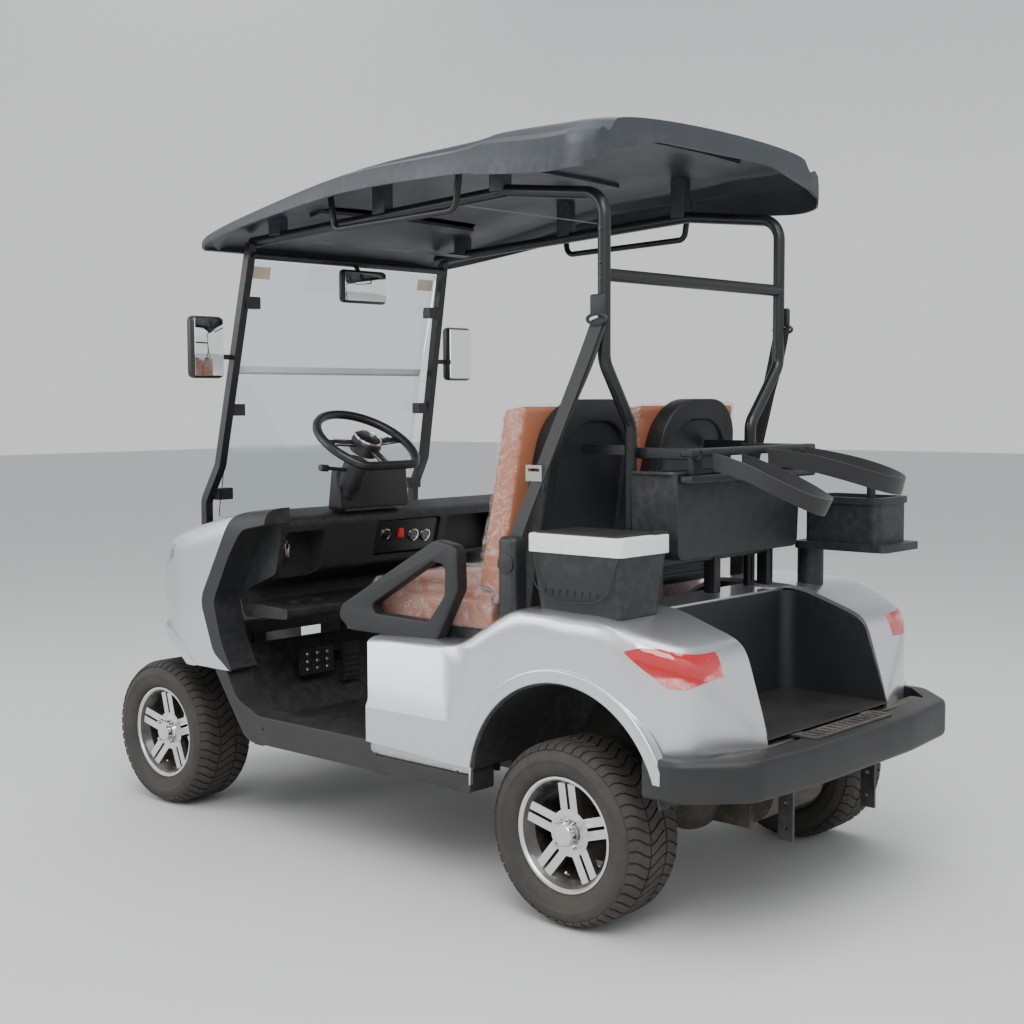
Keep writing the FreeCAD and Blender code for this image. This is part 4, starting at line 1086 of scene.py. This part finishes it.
def backShape(place, normal):
    low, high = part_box("seat_backs")
    u = (abs(place.x) - 0.020) / 0.45 * 2 - 1
    w = (place.z - low[2]) / (high[2] - low[2])
    front = max(0.0, -normal.y)
    move = Vector((0, front * (0.006 - 0.004 * (1 - u * u) * (1 - abs(2 * w - 1) ** 4)), 0))
    for seam in (-0.62, 0.62):
        move.y += front * seat["channelDepth"] * dip((u - seam) * 0.225, seat["channelWidth"])
    for seam in (0.28, 0.52, 0.76):
        depth = dip((w - seam) * (high[2] - low[2]), seat["channelWidth"])
        move.y += front * seat["channelDepth"] * (abs(u) < 0.62) * depth
    if abs(normal.y) < 0.7:
        move += -normal * seat["pull"] * 0.5
    return move


def filmOver(bm, hidden, gap, wave, seed):
    # the wrap: the cushion's own skin, open on its hidden side, moved out and crumpled
    skin = bm.copy()
    skin.normal_update()
    bmesh.ops.delete(skin, geom=[face for face in skin.faces if face.normal.dot(hidden) > 0.6], context="FACES")
    for vert in skin.verts:
        point = vert.co * 9.0 + Vector((seed, seed, seed))
        fold = abs(noise.noise(point)) + 0.5 * abs(noise.noise(point * 2.7))
        vert.co += vert.normal * (gap + wave * fold)
    return skin


def within(bm, low, high):
    for vert in bm.verts:
        vert.co = Vector(min(max(c, a), b) for c, a, b in zip(vert.co, low, high))


for nodeName, shape, name, hidden, seed in (
        ("seat_cushion", cushionShape, "seat.cushion", Vector((0, 0, -1)), 3.0),
        ("seat_backs", backShape, "seat.backs", Vector((0, 1, 0)), 8.0)):
    pad = moulded(nodeName, shape, seat["voxel"])
    wrap = filmOver(pad, hidden, seat["filmGap"], seat["filmWave"], seed)
    low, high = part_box(nodeName)
    within(wrap, (low[0] - 0.012, low[1] - 0.012, low[2] - 0.008),
           (high[0] + 0.012, high[1] + 0.001, high[2] + 0.014))
    cushion = addPiece(pad, name, bodyOf[nodeName], "seat_vinyl", (nodeName,), smooth=60)
    cutArea = sum(face.calc_area() for face in wrap.faces)
    cover = addPiece(wrap, name + ".film", bodyOf[nodeName], "clear_pane", look="wrap_film", smooth=60)
print("seats dressed")

# bag straps: closed loops of web that droop from the holder
strap = dict(width=0.044, thick=0.0024, steps=72)
strapLoops = [
    # x, y from the rear axle, z, turn of the web in degrees
    [(0.20, 0.170, 1.112, 4), (0.225, 0.26, 1.100, 8), (0.235, 0.36, 1.062, 16), (0.19, 0.448, 1.015, 24),
     (0.12, 0.455, 1.005, 26), (0.065, 0.38, 1.03, 20), (0.055, 0.27, 1.075, 10), (0.075, 0.172, 1.108, 4)],
    [(-0.045, 0.172, 1.118, 2), (-0.02, 0.29, 1.112, 4), (-0.03, 0.41, 1.085, 10), (-0.10, 0.488, 1.052, 16),
     (-0.19, 0.488, 1.045, 14), (-0.26, 0.41, 1.066, 8), (-0.26, 0.28, 1.100, 2), (-0.22, 0.172, 1.118, 0)],
]
bm = bmesh.new()
for loop in strapLoops:
    points = smoothPath([(x, rearY + y, z) for x, y, z, turn in loop], strap["steps"])
    last = len(points) - 1
    turns = [loop[round(number / last * (len(loop) - 1))][3] for number in range(last + 1)]
    across = []
    for number in range(last + 1):
        near = turns[max(0, number - 4):number + 5]
        along = (points[min(number + 1, last)] - points[max(number - 1, 0)]).normalized()
        across.append(Matrix.Rotation(math.radians(sum(near) / len(near)), 3, along) @ Vector((0, 0, 1)))
    addStrip(bm, points, across, strap["width"], strap["thick"])
addPiece(bm, "bag.straps", "cart", "webbing", ("bag_straps",), smooth=50)
print("straps dressed")


# steering: a flat-bottomed grip with a ringed hub, set square to the CAD's axis
steering = dict(x=250, y=-1066.2, z=1090.1, lean=58.0, shift=0.062, grip=0.156, tube=0.0135, chord=0.122)
leanAngle = math.radians(steering["lean"])
axis = Vector((0, math.cos(leanAngle), math.sin(leanAngle)))
upward = Vector((1, 0, 0)).cross(axis)
hubPlace = spot(steering["x"], steering["y"], steering["z"]) + axis * steering["shift"]
wheelPlane = Matrix.Translation(hubPlace) @ Matrix(((1, 0, 0), upward, axis)).transposed().to_4x4()


def inPlane(bm):
    bmesh.ops.transform(bm, matrix=wheelPlane, verts=bm.verts)
    return bm


def spoke(angle, low, high, rounding, segments=2):
    arm = bmesh.new()
    addBlock(arm, low, high, rounding, segments)
    bmesh.ops.rotate(arm, verts=arm.verts, cent=(0, 0, 0), matrix=Matrix.Rotation(math.radians(angle), 3, "Z"))
    return arm


ringPoints = []
for number in range(36):
    a, b = (steering["grip"] * f(math.radians(number * 10)) for f in (math.cos, math.sin))
    ringPoints.append((a, max(b, -steering["chord"]), 0.0))
bm = bmesh.new()
addTube(bm, ringPoints, steering["tube"], 16, True)
addTurned(bm, [(0.0, 0.018), (0.034, 0.018), (0.041, 0.014), (0.047, 0.0), (0.044, -0.03), (0.030, -0.036),
               (0.0, -0.036)], (0, 0, 0), (0, 0, 1), 40)
for angle in (8, 172, 270):
    reach = steering["chord"] if angle == 270 else steering["grip"]
    bm = joinedForms([bm, spoke(angle, (0.03, -0.013, -0.012), (reach, 0.013, -0.004), 0.003)])
addPiece(inPlane(bm), "steering.grip", "steering_wheel", "gloss_plastic", ("steering_wheel",), smooth=40)
bm = bmesh.new()
addTurned(bm, [(0.036, 0.0185), (0.0375, 0.0205), (0.041, 0.0195), (0.0435, 0.015), (0.042, 0.0135),
               (0.036, 0.0165), (0.036, 0.0185)], (0, 0, 0), (0, 0, 1), 40)
for angle in (8, 172, 270):
    for edge in (-1, 1):
        bm = joinedForms([bm, spoke(angle, (0.046, edge * 0.0125 - 0.0022, -0.0042),
                                    (0.118, edge * 0.0125 + 0.0022, -0.0022), 0.0008, 1)])
addPiece(inPlane(bm), "steering.trim", "steering_wheel", "alloy", look="chrome")

# column, its shroud and stalk with a ribbed grip, and the display on the dash
bm = bmesh.new()
for low, high, radius in ((-0.46, -0.06, 0.022), (-0.155, -0.068, 0.040), (-0.19, -0.15, 0.031)):
    addDisc(bm, hubPlace + axis * (low + high) / 2, axis, radius, high - low, 32, rounding=0.003)
root = hubPlace - axis * 0.10
stalkWay = Vector((1, 0, 0.1)).normalized()
addTube(bm, [root, root + stalkWay * 0.05, root + stalkWay * 0.115], 0.0065, 10)
for number in range(6):
    addDisc(bm, root + stalkWay * (0.112 + number * 0.0045), stalkWay, 0.0105 - 0.001 * (number % 2), 0.0044, 20)
display = softened(sideForm([(-1168, 940), (-1150, 1062), (-1118, 1066), (-1106, 940)], (2, 292)), 11, everyEdge)
addPiece(joinedForms([bm, display]), "steering.column", "cart", "trim_plastic", ("steering_column",), smooth=40)
screen = sideForm([(-1112.2, 958), (-1109.4, 958), (-1118.6, 1049), (-1121.4, 1049)], (18, 276))
addPiece(screen, "display.screen", "cart", "gloss_plastic", look="screen_glass")

# switch panel on the dash: ringed switch, red rocker, two dials, and the key in the left recess


def panelFace(z):
    return fore + 517 + (z - 790) * 26 / 102


panel = sideForm([(fore + 497, 788), (panelFace(788), 788), (panelFace(894), 894), (fore + 497, 894)], (-158, 116))
addPiece(softened(panel, 5, lambda place, way: place.y > fore + 505), "dash.panel", "cart", "gloss_plastic")
faceWay = Vector((0, 102, -26)).normalized()
bright, dark, dials = bmesh.new(), bmesh.new(), bmesh.new()
for x, z, radius in ((71, 852, 18), (-51, 842, 20), (-104, 838, 20)):
    ring = [(radius * mm + reach, height)
            for reach, height in ((-0.005, 0.001), (-0.004, 0.006), (0, 0.005), (0.001, 0.0), (-0.005, 0.001))]
    addTurned(bright, ring, spot(x, panelFace(z), z), faceWay, 32)
addDisc(dark, spot(71, panelFace(852) + 5, 852), faceWay, 0.012, 0.014, 28, rounding=0.002)
addBlock(dark, spot(66, panelFace(852) + 8, 849), spot(76, panelFace(852) + 20, 864), 0.002)
for x, z in ((-51, 842), (-104, 838)):
    addDisc(dials, spot(x, panelFace(z) + 1.5, z), faceWay, 0.0155, 0.003, 28)
addPiece(bright, "dash.rings", "cart", "alloy", look="chrome")
addPiece(dark, "dash.knob", "cart", "gloss_plastic")
addPiece(dials, "dash.dials", "cart", "gloss_plastic", look="screen_glass")
red = bmesh.new()
addBlock(red, spot(-3, panelFace(851) - 4, 836), spot(17, panelFace(851) + 8, 866), 0.003)
addPiece(red, "dash.rocker", "cart", "gloss_plastic", look="red_plastic")
key = bmesh.new()
addDisc(key, spot(440, fore + 474, 852), (0, 1, 0), 0.012, 0.010, 24, rounding=0.002)
addBlock(key, spot(438.8, fore + 478, 848), spot(441.2, fore + 502, 856))
addTube(key, [spot(440 + 8 * math.cos(a), fore + 503, 838 + 11 * math.sin(a))
              for a in (number * math.tau / 10 for number in range(10))], 0.0012, 8, True)
addBlock(key, spot(433, fore + 500, 806), spot(447, fore + 504, 830), 0.0015)
addPiece(key, "dash.key", "cart", "alloy", look="zinc_steel")

# pedals: studs on the brake plate and ribs on the other
studs = bmesh.new()
for row in range(3):
    for column in range(3):
        addDisc(studs, spot(195 + 40 * column, -1283, 436 + 24 * row), (0, 1, 0), 0.0065, 0.004, 20, top=0.004)
addPiece(studs, "pedal.studs", "cart", "alloy", look="zinc_steel")
ribs = bmesh.new()
for row in range(6):
    addBlock(ribs, spot(64, -1286, 392 + 18 * row), spot(126, -1282, 398 + 18 * row), 0.001)
addPiece(ribs, "pedal.ribs", "cart", "trim_plastic", look="rubber_mat")

# belts: a web from the strut's slip guide down to the reel, with its tongue and stop
belt = dict(width=0.048, thick=0.0022)
beltRun = [(415, -22, 1466), (428, -46, 1390), (452, -96, 1250), (478, -152, 1096), (500, -200, 968),
           (508, -216, 915)]
innerRun = [(411.8, -12, 1462), (424, -36, 1372), (446, -94, 1240), (470, -152, 1096), (492, -200, 968),
            (500, -216, 900)]
web = bmesh.new()
for run, width in ((beltRun, belt["width"]), (innerRun, belt["width"] * 0.8)):
    points = smoothPath([spot(*point) for point in run], 36)
    addStrip(web, points, [Vector((0.05, 0.97, 0.24))] * len(points), width, belt["thick"])
hard = softened(blockForm((486, 541), (-245, -187), (690, 929)), 14, above(800))
hard = combine(hard, [quarter])
addDisc(hard, spot(541, -216, 862), (1, 0, 0), 0.026, 0.006, 32, rounding=0.002)
hard = joinedForms([hard, blockForm((411.4, 424), (-44, 2), (1470, 1522), 6)])
addTube(hard, [spot(421, -22 + 31 * math.cos(a), 1462 + 12 * math.sin(a))
               for a in (number * math.tau / 12 for number in range(12))], 0.0042, 10, True)
addBlock(hard, spot(474, -184, 1040), spot(484, -140, 1066), 0.003)
slotted = softened(blockForm((484, 486.5), (-196, -144), (1066, 1106)), 1, lambda place, way: False)
slotted = combine(slotted, [blockForm((480, 490), (-188, -152), (1090, 1098))])
addPiece(pairOf(web), "belt.webs", "cart", "webbing", ("seat_belts",), smooth=50)
addPiece(pairOf(hard), "belt.reels", "cart", "trim_plastic", smooth=40)
addPiece(pairOf(slotted), "belt.tongues", "cart", "alloy", look="chrome")

# cooler: padded black insert with its fins, on the lid
pad = softened(blockForm((middleX - 80, middleX + 88), (-118, 134), (940, 949)), 9, upright)
pad = softened(pad, 3, above(948))
fins = [blockForm((middleX - 90, middleX - 40), (y, y + 4), (944, 953), 1) for y in (128, 137, 146)]
addPiece(joinedForms([pad, *fins]), "cooler.pad", "cooler_lid", "trim_plastic")
hoopWire = bmesh.new()
addTube(hoopWire, [spot(x, y, z) for x, y, z in (
    (556, -118, 898), (559, -122, 880), (553, -104, 800), (549, 0, 778), (553, 116, 800), (560, 142, 880),
    (556, 148, 898))], 0.0022, 8)
addPiece(hoopWire, "cooler.wire", "cart", "post_paint")

# mirrors' glass, windshield panes with their joining strip, and the blank labels in their top corners
glass = bmesh.new()
for low, high in ((spot(488, -1403.5, 1343), spot(591, -1401, 1512)),
                  (spot(-87, -1301.5, 1583), spot(87, -1299, 1672))):
    addBlock(glass, low, high, 0.001)
glass = joinedForms([glass, mirrored(blockForm((488, 591), (-1403.5, -1401), (1343, 1512)))])
addPiece(glass, "mirror.glass", "cart", "gloss_plastic", look="mirror_face")
paneTable = [
    # low z, high z, low y, high y
    (900, 1356, -1560, -1467), (1368, 1690, -1464.5, -1385),
]
panes = []
for lowZ, highZ, lowY, highY in paneTable:
    slab = sideForm([(lowY, lowZ), (highY, highZ), (highY + 5, highZ), (lowY + 5, lowZ)], (-400, 400))
    outline = [(-400, lowZ, 18), (-400, highZ, 18), (400, highZ, 18), (400, lowZ, 18)]
    panes.append(common(slab, frontForm(outline, (fore, fore + 400))))
dress(joinedForms(panes), "windshield.panes", "clear_pane", ("windshield",))
strip = sideForm([(-1472, 1350), (-1464, 1374), (-1456, 1374), (-1464, 1350)], (-396, 396))
dress(strip, "windshield.strip", "lid_plastic", ("windshield_hinge",), look="seal_strip")
lowY, highY = (-1464.5 + (z - 1368) * 79.5 / 322 + 5.3 for z in (1638, 1674))
labels = [sideForm([(lowY, 1638), (lowY + 0.8, 1638), (highY + 0.8, 1674), (highY, 1674)], xs)
          for xs in ((316, 386), (-386, -316))]
addPiece(joinedForms(labels), "windshield.labels", "cart", "lid_plastic", look="label_card")

# ball washer's knob on its shaft, bumper step, sill screws and post bolts
knob = bmesh.new()
addDisc(knob, spot(-352, 300, 1015), (0, 0, 1), 0.012, 0.07, 20)
addTurned(knob, [(0.0, 0.017), (0.009, 0.0145), (0.0155, 0.007), (0.017, 0.0), (0.0155, -0.007), (0.009, -0.0145),
                 (0.0, -0.017)], spot(-352, 300, 1056), (0, 0, 1), 24)
addPiece(knob, "washer.knob", "cart", "trim_plastic")
step = softened(planForm([(190, 400), (190, 462, 20), (-190, 462, 20), (-190, 400)], (458.2, 464)), 2, above(463))
for number in range(13):
    step = joinedForms([step, blockForm((-174 + 28 * number, -162 + 28 * number), (412, 450), (463.5, 466))])
addPiece(step, "bumper.step", "cart", "trim_plastic", look="rubber_mat")
bolts = bmesh.new()
for hand in (1, -1):
    for x, y, z in ((590, -640, 326), (590, -340, 326), (590, -1120, 326), (411.5, -20, 1560), (411.5, -20, 1600),
                    (411.5, -20, 1680)):
        addDisc(bolts, spot(hand * x, y, z), (hand, 0, 0), 0.0065, 0.005, 16, top=0.0045)
addPiece(bolts, "body.bolts", "cart", "post_paint")
print("details added")


# floor, sky and lamps
def setStage():
    bm = bmesh.new()
    bmesh.ops.create_grid(bm, x_segments=8, y_segments=8, size=30)
    mesh = bpy.data.meshes.new("floor")
    bm.to_mesh(mesh)
    bm.free()
    floor = bpy.data.objects.new("floor", mesh)
    bpy.context.collection.objects.link(floor)
    material, tree, shader = newMaterial("floorPale", Specular_IOR_Level=0.2, Roughness=0.8)
    cloud = noiseOn(tree, coordsOf(tree), 2.0, 6.0)
    feed(shader, Base_Color=mixColour(tree, cloud, (0.66, 0.66, 0.65), (0.70, 0.70, 0.69)))
    mesh.materials.append(material)
    world = bpy.data.worlds.new("world")
    bpy.context.scene.world = world
    world.use_nodes = True
    tree = world.node_tree
    around = put(tree, "ShaderNodeTexCoord").outputs["Generated"]
    height = put(tree, "ShaderNodeSeparateXYZ", {0: around}).outputs["Z"]
    panels = noiseOn(tree, around, 1.3, 1.0)
    sky = mixColour(tree, spread(tree, panels, 0.42, 0.6), (0.42, 0.45, 0.48), (1.5, 1.52, 1.55))
    tone = mixColour(tree, spread(tree, height, 0.12, 0.5), (0.92, 0.93, 0.94), sky)
    tree.nodes["Background"].inputs["Strength"].default_value = 0.9
    feed(tree.nodes["Background"], Color=tone)
    lampTable = [
        # name, place, aim, size, power
        ("keyLamp", (3.5, 3.0, 4.6), (0, 0, 0.6), 3.2, 210),
        ("fillLamp", (4.2, -3.5, 2.6), (0, 0, 0.7), 3.0, 80),
        ("topLamp", (-0.5, 0.5, 5.2), (0, 0, 0), 4.5, 160),
    ]
    for name, place, aim, width, power in lampTable:
        light = bpy.data.lights.new(name, "AREA")
        light.size = width
        light.energy = power
        lamp = bpy.data.objects.new(name, light)
        bpy.context.collection.objects.link(lamp)
        lamp.location = place
        lamp.rotation_euler = (Vector(aim) - Vector(place)).to_track_quat("-Z", "Y").to_euler()


setCamera()
setStage()
print("stage set")
